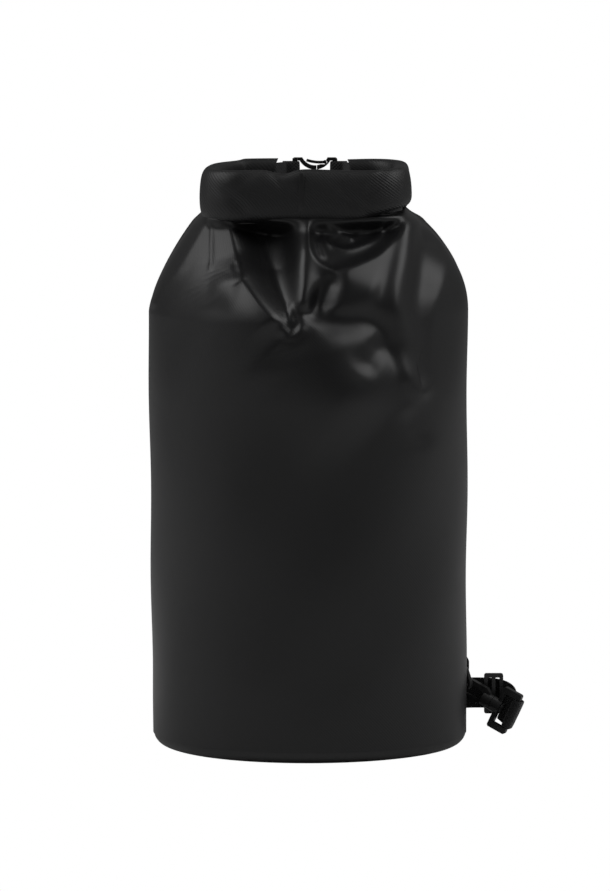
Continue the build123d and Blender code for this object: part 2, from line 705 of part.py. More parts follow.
def pieces():
    """Every piece of the bag by its name."""
    lower = lower_hook_place()
    upper = upper_hook_place()
    upper_frame = upper_frame_place()
    return {
        "body_shell": body_shell(),
        "base_disc": base_disc(),
        "base_weld_band": base_weld_band(),
        "back_seam_tape": back_seam_tape(),
        "roll_collar": roll_collar(),
        "collar_stiffener": collar_stiffener(),
        "collar_seam_ridge": collar_seam_ridge(),
        "closure_webbing_left": closure_webbing(ROLL_END_LEFT, BUCKLE_LEFT + BUCKLE_BAR / 2, 1),
        "closure_webbing_right": closure_webbing(ROLL_END_RIGHT, BUCKLE_RIGHT - BUCKLE_BAR / 2, -1),
        "buckle_female": buckle_female(),
        "buckle_male": buckle_male(),
        "buckle_prong_upper": buckle_prong(1),
        "buckle_prong_lower": buckle_prong(-1),
        "lower_ring_patch": lash_patch(LOWER_RING_ANGLE, LOWER_RING_Z),
        "upper_ring_patch": lash_patch(UPPER_RING_ANGLE, UPPER_RING_Z),
        "lower_ring_tab": ring_tab(LOWER_RING_ANGLE, LOWER_RING_Z),
        "upper_ring_tab": ring_tab(UPPER_RING_ANGLE, UPPER_RING_Z),
        "lower_ring": lash_ring(LOWER_RING_ANGLE, LOWER_RING_Z, LOWER_RING_DROP),
        "upper_ring": lash_ring(UPPER_RING_ANGLE, UPPER_RING_Z, UPPER_RING_DROP),
        "lower_swivel_frame": lower * swivel_frame(),
        "upper_swivel_frame": upper_frame * swivel_frame(),
        "lower_hook": lower * snap_hook(),
        "upper_hook": upper * snap_hook(),
        "lower_hook_gate": lower * hook_gate(),
        "upper_hook_gate": upper * hook_gate(),
        "strap_slider": strap_slider(),
        "shoulder_strap": shoulder_strap(),
    }


os.makedirs("parts", exist_ok=True)
for piece_name, piece_shape in pieces().items():
    save(piece_shape, piece_name)
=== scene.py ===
# %% [markdown]
# # A roll-top dry bag
# The bag is a tube of coated fabric welded to a round base. Its mouth is pressed flat, rolled down
# over a stiff strip, bent back into a loop and held by a side-release buckle. A short webbing strap
# with a swivel hook at each end is clipped to two rings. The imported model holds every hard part
# where it belongs, so this file keeps those and builds the soft ones round them.

# %% The fixed frame
import math

import bpy
import numpy as np
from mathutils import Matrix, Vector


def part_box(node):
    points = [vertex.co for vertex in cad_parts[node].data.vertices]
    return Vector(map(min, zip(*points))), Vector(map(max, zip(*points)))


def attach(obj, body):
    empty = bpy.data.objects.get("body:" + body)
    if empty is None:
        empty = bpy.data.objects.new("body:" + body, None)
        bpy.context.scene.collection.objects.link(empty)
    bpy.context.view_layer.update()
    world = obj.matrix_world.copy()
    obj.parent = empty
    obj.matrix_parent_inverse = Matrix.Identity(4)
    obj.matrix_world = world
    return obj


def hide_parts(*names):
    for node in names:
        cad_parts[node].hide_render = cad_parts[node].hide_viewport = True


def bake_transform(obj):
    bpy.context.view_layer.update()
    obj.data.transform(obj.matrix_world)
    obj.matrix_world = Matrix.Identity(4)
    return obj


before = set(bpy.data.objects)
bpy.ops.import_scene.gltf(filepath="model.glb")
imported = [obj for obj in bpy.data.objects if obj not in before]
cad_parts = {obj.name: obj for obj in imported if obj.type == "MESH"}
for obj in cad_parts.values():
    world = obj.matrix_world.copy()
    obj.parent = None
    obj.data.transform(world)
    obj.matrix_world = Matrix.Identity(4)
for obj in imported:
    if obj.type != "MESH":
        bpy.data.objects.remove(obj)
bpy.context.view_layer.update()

MM = 0.001

# %% [markdown]
# ## Camera, light and floor
# A long lens from six metres away keeps upright lines upright, as a catalogue view does. The lights
# are two wide soft panels, one at each side. A dark satin surface shows little but its reflections,
# so the middle of the bag stays dark between them while the flanks of each fold light up.

# %% Camera
AIM = (-0.0016, 0.0, 0.194)
CAMERA_DISTANCE = 6.0
CAMERA_ELEVATION = math.radians(6.5)
LENS = 374.0

camera_data = bpy.data.cameras.new("camera")
camera_data.lens = LENS
camera = bpy.data.objects.new("camera", camera_data)
camera.location = (
    AIM[0],
    -CAMERA_DISTANCE * math.cos(CAMERA_ELEVATION),
    AIM[2] + CAMERA_DISTANCE * math.sin(CAMERA_ELEVATION),
)
camera.rotation_euler = (math.pi / 2 - CAMERA_ELEVATION, 0.0, 0.0)
bpy.context.scene.collection.objects.link(camera)
bpy.context.scene.camera = camera
bpy.context.scene.view_settings.view_transform = "Standard"
print("camera at", [round(c, 3) for c in camera.location])


# %% Lights
def soft_panel(name, azimuth, height, distance, width, tall, power):
    """A rectangular light at an azimuth from the front, in degrees, that faces the bag."""
    lamp = bpy.data.lights.new(name, "AREA")
    lamp.shape = "RECTANGLE"
    lamp.size = width
    lamp.size_y = tall
    lamp.energy = power
    panel = bpy.data.objects.new(name, lamp)
    turn = math.radians(azimuth)
    panel.location = (distance * math.sin(turn), -distance * math.cos(turn), height)
    tilt = math.atan2(distance, height - AIM[2])
    panel.rotation_euler = (tilt, 0.0, turn)
    bpy.context.scene.collection.objects.link(panel)


soft_panel("left_panel", -78, 1.75, 1.5, 1.9, 1.5, 17)
soft_panel("right_panel", 84, 1.75, 1.5, 1.7, 1.5, 15)
soft_panel("left_fill", -88, 0.35, 2.2, 2.0, 1.6, 1.6)
soft_panel("right_fill", 96, 0.35, 2.2, 2.0, 1.6, 1.0)

# %% [markdown]
# The world is white where the camera looks straight at it and dim everywhere else. That gives a
# clean white page behind the bag and leaves the soft panels to do the lighting.

# %% World and floor
WORLD_GLOW = 0.11


def backdrop_shader(tree, lit, output, socket):
    """Shows plain white to the camera and the lit shader to everything else."""
    page = tree.nodes.new("ShaderNodeBackground" if socket == "World" else "ShaderNodeEmission")
    page.inputs["Color"].default_value = (1, 1, 1, 1)
    rays = tree.nodes.new("ShaderNodeLightPath")
    mix = tree.nodes.new("ShaderNodeMixShader")
    tree.links.new(rays.outputs["Is Camera Ray"], mix.inputs[0])
    tree.links.new(lit, mix.inputs[1])
    tree.links.new(page.outputs[0], mix.inputs[2])
    tree.links.new(mix.outputs[0], output.inputs["Surface"])


world = bpy.data.worlds.new("studio")
world.use_nodes = True
bpy.context.scene.world = world
glow = world.node_tree.nodes["Background"]
glow.inputs["Color"].default_value = (1, 1, 1, 1)
glow.inputs["Strength"].default_value = WORLD_GLOW
backdrop_shader(world.node_tree, glow.outputs[0], world.node_tree.nodes["World Output"], "World")

floor_paint = bpy.data.materials.new("pale_floor")
floor_paint.use_nodes = True
floor_tree = floor_paint.node_tree
floor_tree.nodes["Principled BSDF"].inputs["Base Color"].default_value = (0.80, 0.80, 0.80, 1)
floor_tree.nodes["Principled BSDF"].inputs["Roughness"].default_value = 0.6
floor_lit = floor_tree.nodes["Principled BSDF"].outputs[0]
backdrop_shader(floor_tree, floor_lit, floor_tree.nodes["Material Output"], "Surface")

FLOOR_HALF = 4.0
floor_mesh = bpy.data.meshes.new("floor")
floor_corners = [(-1, -1, 0), (1, -1, 0), (1, 1, 0), (-1, 1, 0)]
floor_points = [tuple(FLOOR_HALF * c for c in corner) for corner in floor_corners]
floor_mesh.from_pydata(floor_points, [], [(0, 1, 2, 3)])
floor_mesh.materials.append(floor_paint)
floor = bpy.data.objects.new("floor", floor_mesh)
bpy.context.scene.collection.objects.link(floor)

# %% [markdown]
# ## From a grid of points to a mesh
# Every new piece is a grid of points: rows along it and columns around it. One helper joins each
# point to its neighbours, closes both ends with a face, gives each corner a place on the piece's own
# map in metres and, if the shape came out inside out, turns all the faces over.


# %% Grid to mesh
def signed_volume(points, quads):
    """The sum over the faces of the pyramid from the origin, positive when faces point outwards."""
    a, b, c, d = (points[quads[:, k]] for k in range(4))
    return np.einsum("ij,ij->", a, np.cross(b, c) + np.cross(c, d))


def grid_piece(name, grid, flat_map, material, body="root", sharp=35.0):
    """A closed mesh from a (rows, columns, 3) grid whose columns run right round it.

    flat_map is (rows, columns + 1, 2), in metres, so that the last column can meet the first.
    """
    rows, columns = grid.shape[:2]
    points = grid.reshape(-1, 3)
    i, j = (a.ravel() for a in np.mgrid[0 : rows - 1, 0:columns])
    k = (j + 1) % columns
    quads = np.stack([i * columns + j, i * columns + k, (i + 1) * columns + k, (i + 1) * columns + j], 1)
    corners = np.stack([flat_map[i, j], flat_map[i, j + 1], flat_map[i + 1, j + 1], flat_map[i + 1, j]], 1)
    inside_out = signed_volume(points - points.mean(0), quads) < 0
    first = list(range(columns))[::-1]
    last = list(range((rows - 1) * columns, rows * columns))
    if inside_out:
        quads = quads[:, ::-1]
        corners = corners[:, ::-1]
        first, last = first[::-1], last[::-1]
    mesh = bpy.data.meshes.new(name)
    mesh.from_pydata(points.tolist(), [], quads.tolist() + [first, last])
    layer = mesh.uv_layers.new(name="UVMap")
    ends = np.zeros((2 * columns, 2))
    layer.data.foreach_set("uv", np.concatenate([corners.reshape(-1, 2), ends]).ravel().astype(np.float32))
    mesh.polygons.foreach_set("use_smooth", np.ones(len(mesh.polygons), dtype=bool))
    mesh.set_sharp_from_angle(angle=math.radians(sharp))
    mesh.materials.append(material)
    piece = bpy.data.objects.new(name, mesh)
    bpy.context.scene.collection.objects.link(piece)
    if body:
        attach(piece, body)
    print(f"{name}: {len(mesh.polygons)} faces")
    return piece


def unit(vectors):
    """Each vector divided by its own length."""
    return vectors / np.linalg.norm(vectors, axis=-1, keepdims=True)


# %% [markdown]
# ## Patterns that several finishes share
# The webbing and the coated fabric both show a weave, and every finish carries a little dust and
# rubbing. Each effect is a node group, built once, that puts out a plain value. The shader itself
# stays in the material.


# %% Node helpers
def node(tree, kind, **settings):
    """A new node whose settings are either its own properties or the values of its inputs."""
    made = tree.nodes.new(kind)
    for key, value in settings.items():
        if hasattr(made, key):
            setattr(made, key, value)
        else:
            made.inputs[key.replace("_", " ")].default_value = value
    return made


def math_node(tree, operation, first, second=None):
    """One step of arithmetic on sockets or numbers."""
    made = tree.nodes.new("ShaderNodeMath")
    made.operation = operation
    for slot, value in enumerate((first, second)):
        if value is None:
            continue
        if isinstance(value, (int, float)):
            made.inputs[slot].default_value = value
        else:
            tree.links.new(value, made.inputs[slot])
    return made.outputs[0]


def new_group(name, inputs, outputs):
    """An empty shader node group. inputs and outputs are (name, socket kind, value) rows."""
    tree = bpy.data.node_groups.new(name, "ShaderNodeTree")
    for label, kind, value in inputs:
        made = tree.interface.new_socket(label, in_out="INPUT", socket_type=kind)
        if value is not None:
            made.default_value = value
    for label, kind in outputs:
        tree.interface.new_socket(label, in_out="OUTPUT", socket_type=kind)
    return tree, tree.nodes.new("NodeGroupInput").outputs, tree.nodes.new("NodeGroupOutput").inputs


# %% Weave group
def weave_group():
    """Threads along two directions: height is the larger of two sine waves that swap over and under."""
    tree, given, out = new_group(
        "crossed_threads",
        [("Map", "NodeSocketVector", None), ("Spacing", "NodeSocketFloat", 0.0015),
         ("Turn", "NodeSocketFloat", 0.0)],
        [("Height", "NodeSocketFloat"), ("Ribs", "NodeSocketFloat")],
    )
    spin = tree.nodes.new("ShaderNodeVectorRotate")
    spin.rotation_type = "Z_AXIS"
    tree.links.new(given["Map"], spin.inputs["Vector"])
    tree.links.new(given["Turn"], spin.inputs["Angle"])
    parts = tree.nodes.new("ShaderNodeSeparateXYZ")
    tree.links.new(spin.outputs[0], parts.inputs[0])
    rate = math_node(tree, "DIVIDE", math.tau, given["Spacing"])
    across = math_node(tree, "SINE", math_node(tree, "MULTIPLY", parts.outputs[0], rate))
    along = math_node(tree, "SINE", math_node(tree, "MULTIPLY", parts.outputs[1], rate))
    product = math_node(tree, "MULTIPLY", across, along)
    half = math_node(tree, "MULTIPLY", product, 0.5)
    tree.links.new(math_node(tree, "ADD", half, 0.5), out["Height"])
    tree.links.new(math_node(tree, "ADD", math_node(tree, "MULTIPLY", along, 0.5), 0.5), out["Ribs"])
    return tree


# %% Dust and rubbing group
def dust_group():
    """Fine specks and broad smudges: two scales of noise, each pressed into a soft mask."""
    tree, given, out = new_group(
        "dust_and_rubbing",
        [("Place", "NodeSocketVector", None), ("Smudge Scale", "NodeSocketFloat", 9.0),
         ("Speck Scale", "NodeSocketFloat", 700.0)],
        [("Smudge", "NodeSocketFloat"), ("Speck", "NodeSocketFloat")],
    )
    for label, detail, low, high in (("Smudge", 5.0, 0.38, 0.68), ("Speck", 2.0, 0.62, 0.80)):
        noise = node(tree, "ShaderNodeTexNoise", Detail=detail)
        tree.links.new(given["Place"], noise.inputs["Vector"])
        tree.links.new(given[f"{label} Scale"], noise.inputs["Scale"])
        ramp = node(tree, "ShaderNodeMapRange", From_Min=low, From_Max=high)
        tree.links.new(noise.outputs[0], ramp.inputs["Value"])
        tree.links.new(ramp.outputs[0], out[label])
    return tree


WEAVE = weave_group()
DUST = dust_group()


# %% [markdown]
# ## Finishes
# Each finish is one Principled shader. The weave and a fine grain go into its bump, the smudges into
# its roughness and colour. Coated fabric is a satin black film over cloth, so its weave only just
# shows. Webbing is matt and clearly woven. Moulded nylon is smooth with a spark-eroded grain.


# %% Building a finish
def finish(
    name, colour, dusty, rough, rubbed, sheen=0.0, coat=0.0, weave=None, pattern="Height", grain=(900.0, 0.05)
):
    """A Principled material.

    colour and dusty are the clean and the dusty colour, rough and rubbed the roughness of each.
    weave is (spacing, turn, bump distance) on the piece's own map, and grain is (scale, strength).
    """
    material = bpy.data.materials.new(name)
    material.use_nodes = True
    tree = material.node_tree
    shader = tree.nodes["Principled BSDF"]
    shader.inputs["Sheen Weight"].default_value = sheen
    shader.inputs["Coat Weight"].default_value = coat
    shader.inputs["Coat Roughness"].default_value = 0.35
    shader.inputs["IOR"].default_value = 1.5
    place = tree.nodes.new("ShaderNodeTexCoord")
    dust = tree.nodes.new("ShaderNodeGroup")
    dust.node_tree = DUST
    tree.links.new(place.outputs["Object"], dust.inputs["Place"])
    tint = node(tree, "ShaderNodeMix", data_type="RGBA")
    tint.inputs[6].default_value = (*colour, 1)
    tint.inputs[7].default_value = (*dusty, 1)
    smudge = math_node(tree, "MULTIPLY", dust.outputs["Smudge"], 0.6)
    both = math_node(tree, "MAXIMUM", smudge, dust.outputs["Speck"])
    tree.links.new(both, tint.inputs[0])
    tree.links.new(tint.outputs[2], shader.inputs["Base Color"])
    gloss = node(tree, "ShaderNodeMapRange", To_Min=rough, To_Max=rubbed)
    tree.links.new(dust.outputs["Smudge"], gloss.inputs["Value"])
    tree.links.new(gloss.outputs[0], shader.inputs["Roughness"])
    noise = node(tree, "ShaderNodeTexNoise", Scale=grain[0], Detail=3.0)
    tree.links.new(place.outputs["Object"], noise.inputs["Vector"])
    bump = node(tree, "ShaderNodeBump", Strength=grain[1], Distance=0.0004)
    tree.links.new(noise.outputs[0], bump.inputs["Height"])
    if weave:
        threads = tree.nodes.new("ShaderNodeGroup")
        threads.node_tree = WEAVE
        threads.inputs["Spacing"].default_value = weave[0]
        threads.inputs["Turn"].default_value = weave[1]
        tree.links.new(place.outputs["UV"], threads.inputs["Map"])
        ribs = node(tree, "ShaderNodeBump", Strength=1.0, Distance=weave[2])
        tree.links.new(threads.outputs[pattern], ribs.inputs["Height"])
        tree.links.new(bump.outputs[0], ribs.inputs["Normal"])
        bump = ribs
    tree.links.new(bump.outputs[0], shader.inputs["Normal"])
    return material


COATED_FABRIC = finish(
    "satin_coated_fabric", (0.0055, 0.0055, 0.006), (0.009, 0.009, 0.0095), 0.36, 0.45,
    coat=0.08, weave=(0.0015, 0.79, 0.00002), pattern="Ribs", grain=(260.0, 0.06),
)
# The same coated fabric as the skin with a lighter base colour: a painted highlight that brightens the rolled
# collar's face.
ROLLED_FABRIC_PAINTED_LIGHTER = finish(
    "rolled_fabric_painted_lighter", (0.0065, 0.0065, 0.007), (0.012, 0.012, 0.0125), 0.44, 0.52,
    coat=0.08, weave=(0.0015, 0.79, 0.00012), pattern="Ribs", grain=(260.0, 0.08),
)
# The same coated fabric with nearly twice the base colour: a painted reflection of the pale floor along the
# bag's bottom edge.
BASE_FABRIC_PAINTED_LIGHTER = finish(
    "base_fabric_painted_lighter", (0.010, 0.010, 0.0105), (0.020, 0.020, 0.020), 0.42, 0.55,
    coat=0.10, grain=(260.0, 0.14),
)
WELD_TAPE = finish(
    "welded_tape", (0.010, 0.010, 0.010), (0.018, 0.018, 0.018), 0.34, 0.46,
    coat=0.15, weave=(0.0012, 0.0, 0.00002), grain=(400.0, 0.08),
)
WEBBING = finish(
    "ribbed_webbing", (0.010, 0.010, 0.011), (0.030, 0.030, 0.031), 0.72, 0.85,
    sheen=0.25, weave=(0.0022, 0.0, 0.00035), grain=(1500.0, 0.35),
)
THREAD = finish(
    "sewing_thread", (0.016, 0.016, 0.017), (0.030, 0.030, 0.030), 0.60, 0.75,
    sheen=0.2, grain=(2500.0, 0.3),
)
BUCKLE_PLASTIC = finish(
    "buckle_acetal", (0.011, 0.011, 0.0115), (0.022, 0.022, 0.022), 0.30, 0.42,
    coat=0.15, grain=(1400.0, 0.16),
)
HOOK_PLASTIC = finish(
    "hook_nylon", (0.016, 0.016, 0.0165), (0.030, 0.030, 0.030), 0.26, 0.40,
    coat=0.2, grain=(1100.0, 0.14),
)
STIFF_STRIP = finish(
    "stiffener_strip", (0.030, 0.030, 0.032), (0.05, 0.05, 0.05), 0.45, 0.6, grain=(700.0, 0.1),
)

# %% [markdown]
# ## The bag's skin
# The tube is a circle seen from above and the pressed-flat mouth is a narrow band bent into a U, with
# the front sheet on its outside and the back sheet on its inside. Each column of the skin starts at an
# angle round the tube and ends on that band, so one surface makes the wall, the shoulders and the
# hollow behind the roll.

# %% Sizes taken from the frame
shell_low, shell_high = (np.array(c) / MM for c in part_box("body_shell"))
roll_low, roll_high = (np.array(c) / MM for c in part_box("roll_collar"))
TUBE_RADIUS = shell_high[0]
FOOT_Z = shell_low[2]
ROLL_HALF = 7.0
ROLL_BOTTOM_Z = roll_low[2]
ROLL_TOP_Z = roll_high[2]
LOOP_LEFT = roll_low[0] + ROLL_HALF
LOOP_RIGHT = roll_high[0] - ROLL_HALF
LOOP_FRONT = roll_low[1] + ROLL_HALF
LOOP_BACK = roll_high[1] - ROLL_HALF
TUBE_TOP_Z = 282.0
NECK_Z = ROLL_BOTTOM_Z + 1.5
NECK_HALF = 3.5
LOOP_CENTRE = ((LOOP_LEFT + LOOP_RIGHT) / 2, (LOOP_FRONT + LOOP_BACK) / 2)
LOOP_SQUARENESS = 5.0
ROLL_END_LEFT = -26.0
ROLL_END_RIGHT = 33.0
END_RIGHT = math.degrees(math.atan2(ROLL_END_RIGHT - LOOP_CENTRE[0], -(LOOP_BACK - LOOP_CENTRE[1])))
END_LEFT = math.degrees(math.atan2(LOOP_CENTRE[0] - ROLL_END_LEFT, -(LOOP_BACK - LOOP_CENTRE[1])))
print("radius", TUBE_RADIUS, "roll ends at", round(END_RIGHT, 1), round(-END_LEFT, 1), "degrees")


# %% Tube, neck and shoulder
def smooth(value, low, high):
    """0 below low, 1 above high and an S-curve between."""
    t = np.clip((value - low) / (high - low), 0, 1)
    return t * t * (3 - 2 * t)


def neck_point(angle, offset):
    """A rounded oblong by angle: radius = (|sin/a|^n + |cos/b|^n)^(-1/n), about the loop's centre."""
    a = (LOOP_RIGHT - LOOP_LEFT) / 2 + offset
    b = (LOOP_BACK - LOOP_FRONT) / 2 + offset
    n = LOOP_SQUARENESS
    reach = (np.abs(np.sin(angle) / a) ** n + np.abs(np.cos(angle) / b) ** n) ** (-1 / n)
    return LOOP_CENTRE[0] + reach * np.sin(angle), LOOP_CENTRE[1] - reach * np.cos(angle)


def bag_shape(turn, level):
    """A point of the unfolded bag, in mm: turn is degrees from the front, positive to the right."""
    angle = np.radians(turn)
    lean = 1 - 0.03 * smooth(-np.sin(angle), 0.2, 1) * (1 - np.clip(level / TUBE_TOP_Z, 0, 1))
    round_x = TUBE_RADIUS * np.sin(angle) * lean
    round_y = -TUBE_RADIUS * np.cos(angle)
    back = (turn > END_RIGHT) & (turn < 360 - END_LEFT)
    share = np.clip((turn - END_RIGHT) / (360 - END_LEFT - END_RIGHT), 0, 1)
    inner_angle = np.radians(END_RIGHT - share * (END_RIGHT + END_LEFT))
    outer_x, outer_y = neck_point(angle, NECK_HALF)
    inner_x, inner_y = neck_point(inner_angle, -NECK_HALF)
    neck_x = np.where(back, inner_x, outer_x)
    neck_y = np.where(back, inner_y, outer_y)
    rise = np.clip((level - TUBE_TOP_Z) / (NECK_Z - TUBE_TOP_Z), 0, 1)
    bow = 1.8 + 0.35 * np.sin(angle)
    pull = np.where(back, rise, rise ** bow)
    sag = np.where(back, 9 * np.sin(np.pi * rise) * np.sin(np.pi * share) ** 0.5, 0)
    x = round_x + (neck_x - round_x) * pull
    y = round_y + (neck_y - round_y) * pull
    return np.stack([x, y, level - sag], -1)


# %% [markdown]
# ### Folds
# Where the round tube is gathered into the flat neck the spare fabric falls into pockets. A pocket is
# drawn as a line of a few points in millimetres, as seen from one side. On one side of the line the
# surface sinks by a depth, and the line itself stands up as a lip, crisp towards the pocket and soft
# on the far side. The distance from every point of the skin to the line gives both.


# %% Fold profile
def signed_distance(across, up, line):
    """Distance from points to a bent line, positive on its left, and how far along it, from 0 to 1."""
    line = np.array(line, dtype=float)
    best = np.full(across.shape, 1e9)
    side = np.zeros(across.shape)
    along = np.zeros(across.shape)
    spans = np.linalg.norm(np.diff(line, axis=0), axis=1)
    done = np.concatenate([[0], np.cumsum(spans)]) / spans.sum()
    for k, (a, b) in enumerate(zip(line[:-1], line[1:])):
        d = b - a
        t = np.clip(((across - a[0]) * d[0] + (up - a[1]) * d[1]) / (d @ d), 0, 1)
        dx = across - a[0] - t * d[0]
        dz = up - a[1] - t * d[1]
        gap = np.hypot(dx, dz)
        near = gap < best
        best = np.where(near, gap, best)
        side = np.where(near, np.sign(d[0] * dz - d[1] * dx), side)
        along = np.where(near, done[k] + t * (done[k + 1] - done[k]), along)
    return best * side, along


def bend_line(points, per_span=6):
    """The points joined by a Catmull-Rom curve, so that a lip has no corners."""
    p = np.array(points, dtype=float)
    p = np.concatenate([[2 * p[0] - p[1]], p, [2 * p[-1] - p[-2]]])
    t = np.linspace(0, 1, per_span, endpoint=False)[:, None]
    a, b, c, d = p[:-3, None], p[1:-2, None], p[2:-1, None], p[3:, None]
    bend, twist = 2 * a - 5 * b + 4 * c - d, 3 * b - a - 3 * c + d
    curve = 0.5 * (2 * b + (c - a) * t + bend * t ** 2 + twist * t ** 3)
    return np.concatenate([curve.reshape(-1, 2), p[-2:-1]])


def pocket(across, up, line, depth, lip, inner, outer, fade=(0.0, 0.0)):
    """Height of one pocket: sinks inside the line, deeper the higher it is, with a lip on the line.

    fade is the share of the line over which each end dies away.
    """
    gap, along = signed_distance(across, up, bend_line(line))
    inside = np.clip(gap, 0, None)
    outside = np.clip(-gap, 0, None)
    lowest = min(z for _, z in line)
    deepen = 0.35 + 0.65 * smooth(up, lowest, lowest + 55)
    dying = np.exp(-(inside / (25 + 3 * inner)) ** 2)
    sunk = -depth * deepen * (1 - np.exp(-(inside / inner) ** 2)) * dying
    edge = lip * np.exp(-(outside / outer) ** 1.3) * np.exp(-(inside / (0.5 * inner)) ** 2)
    return (sunk + edge) * end_fade(along, fade)


def funnel(across, up, down_line, up_line, depth, down_soft, up_soft, tall):
    """Depth between two lines that meet at a point below: the product of a soft wall from each."""
    down_gap, _ = signed_distance(across, up, bend_line(down_line))
    up_gap, _ = signed_distance(across, up, bend_line(up_line))
    walls = (1 - np.exp(-(np.clip(down_gap, 0, None) / down_soft) ** 2)) * (
        1 - np.exp(-(np.clip(up_gap, 0, None) / up_soft) ** 2)
    )
    lowest = min(z for _, z in up_line)
    return -depth * (0.3 + 0.7 * np.clip((up - lowest) / tall, 0, 1)) * walls


def end_fade(along, fade):
    """Rises from 0 to 1 over the first share of a line and falls again over the last."""
    first = smooth(along, 0, fade[0]) if fade[0] else 1.0
    last = smooth(1 - along, 0, fade[1]) if fade[1] else 1.0
    return first * last


def crease(across, up, line, height, left, right, fade=(0.2, 0.2)):
    """A ridge, or a valley if height is negative, with its own softness on each side of the line."""
    gap, along = signed_distance(across, up, bend_line(line))
    width = np.where(gap > 0, left, right)
    return height * np.exp(-(gap / width) ** 2) * end_fade(along, fade)


# %% Folds on the front, sides and back
SEEN_TILT = CAMERA_ELEVATION
OPEN_TOP = (0.0, 0.0)
BOTH_ENDS = (0.15, 0.15)
# each funnel: two lines, depth, softness of each wall, height over which it deepens
CENTRE_FUNNEL_DOWN = [
    (-54, 349), (-50.2, 324.6), (-48.8, 316), (-45.3, 306.3), (-38.2, 293.7), (-29.8, 282.4),
    (-21.4, 272.6), (-15.1, 265.1), (-10.6, 261.5), (-6, 258),
]
CENTRE_FUNNEL_UP = [
    (-12, 257), (-5.2, 264.9), (-1.7, 270.5), (-0.6, 278.2), (-1, 292.3),
    (-1.7, 306.3), (-1, 320.4), (-1, 349),
]
RIGHT_FUNNEL_DOWN = [
    (67, 349), (63.6, 327.4), (61.5, 312), (58.7, 295), (58.7, 278.2), (60.1, 264.2), (62.2, 250),
    (65.7, 234.6), (70.7, 226.9), (76, 222),
]
RIGHT_FUNNEL_UP = [(69, 222), (75.6, 229), (79.8, 237.5), (82.6, 255.7), (86.8, 281), (91, 300), (95, 349)]
FRONT_FUNNELS = (
    (CENTRE_FUNNEL_DOWN, CENTRE_FUNNEL_UP, 18, 8, 15, 50),
    (RIGHT_FUNNEL_DOWN, RIGHT_FUNNEL_UP, 13, 24, 8, 90),
)
# each row: line, depth, lip, inner width, outer width, end fades
FRONT_POCKETS = (
    ([(-70, 349), (-62.8, 341.4), (-56.5, 335), (-50.9, 330.5), (-45.3, 327.7), (-38.2, 327.9),
      (-29.8, 331), (-21.4, 336.5), (-9, 349)], 6.5, 1.7, 5, 7, OPEN_TOP),
    ([(0, 349), (0, 326), (1.5, 317.5), (5, 311.2), (10.9, 306.6), (18.7, 303.8), (26.4, 305.6),
      (37.6, 309.8), (47.5, 314.7), (55.9, 323.2), (61.5, 330.2), (67, 349)], 10, 2.6, 5, 8, OPEN_TOP),
    ([(10.9, 335.1), (18, 331.6), (27.8, 328.1), (33.1, 325.6)], 2.6, 1.6, 2.4, 3, BOTH_ENDS),
    ([(10.9, 328.8), (15.2, 323.2), (20.8, 319.9), (28.5, 319.2), (37.6, 321.8), (46.1, 325.3),
      (50.3, 330.2), (51, 349)], 3.6, 2.2, 3, 3.4, (0.15, 0.0)),
    ([(-64.7, 306.3), (-67.8, 289.4), (-72.7, 280.3), (-59.3, 277.5),
      (-45.3, 274)], -2.8, 0, 9, 4, BOTH_ENDS),
)
# each row: line, height, softness on the left and on the right, end fades
FRONT_CREASES = (
    ([(-49, 318), (-45.3, 306.3), (-38.2, 293.7), (-29.8, 282.4), (-21.4, 272.6), (-12, 263)],
     7.5, 6, 27, (0.3, 0.25)),
    ([(-19, 270), (-15.1, 265.1), (-10.6, 262.2), (-5.2, 264.9), (-1.7, 271)], 2.0, 2.6, 4, (0.25, 0.25)),
    ([(-48.8, 312), (-46, 305), (-41, 301.4)], -1.2, 2, 2, (0.3, 0.3)),
    ([(-2, 330), (-2, 313), (-2, 292), (-3, 274)], 3.4, 7, 8, (0.25, 0.2)),
    ([(-13, 285), (-11.5, 275.4), (-9.9, 267)], 1.4, 2.4, 1.6, (0.3, 0.3)),
    ([(18.5, 305), (8.1, 286.6), (-1, 269)], -4.0, 8, 6, (0.25, 0.2)),
    ([(-2, 272), (2.5, 255.7), (8.1, 241.7), (18, 229), (32, 217.8), (48, 203)], 6.0, 26, 34, (0.3, 0.4)),
    ([(6, 327.4), (8.1, 317.5), (11.2, 311)], 1.8, 2.4, 2, (0.25, 0.25)),
    ([(10.9, 300), (10.2, 289.4), (10.9, 279.6), (15.2, 272.6), (25, 270.5), (39, 271.2), (48.9, 268.4),
      (54.5, 259.9), (60, 247.3), (66, 234)], -5.0, 10, 9, (0.2, 0.25)),
    ([(16, 300), (34, 297), (52, 291)], 2.4, 11, 11, (0.3, 0.3)),
    ([(52, 262), (43.3, 250), (33, 237)], -2.4, 7, 9, (0.35, 0.35)),
    ([(66, 349), (63.6, 327.4), (61.5, 312), (58.7, 295), (58.7, 278.2), (60.1, 264.2), (62.2, 250),
      (65.7, 234.6), (70.7, 226.9), (76, 230), (80, 240)], 2.6, 9, 5, (0.1, 0.15)),
    ([(64, 218), (70, 206), (76, 190)], -1.6, 7, 9, (0.35, 0.35)),
    ([(-86, 268), (-60, 258), (-30, 246), (-12, 232)], 2.4, 20, 24, (0.35, 0.35)),
    ([(-64.2, 340), (-64.2, 323), (-64.7, 304)], 0.8, 1.3, 1.3, (0.1, 0.1)),
    ([(-66.3, 338), (-74.8, 323.2), (-86, 303.5), (-94.5, 292.3), (-102, 280)], 1.5, 3, 13, (0.1, 0.1)),
)
BACK_POCKETS = (
    ([(-78, 318), (-62, 292), (-48, 276), (-38, 270), (-31, 277), (-27, 296)], 5, 2.4, 9, 12, BOTH_ENDS),
    ([(29, 296), (34, 272), (46, 258), (56, 256), (63, 270), (76, 306)], 5.5, 2.6, 9, 12, BOTH_ENDS),
)
BACK_CREASES = (([(-66, 262), (-46, 247), (-28, 236)], 1.8, 8, 14, (0.3, 0.3)),)
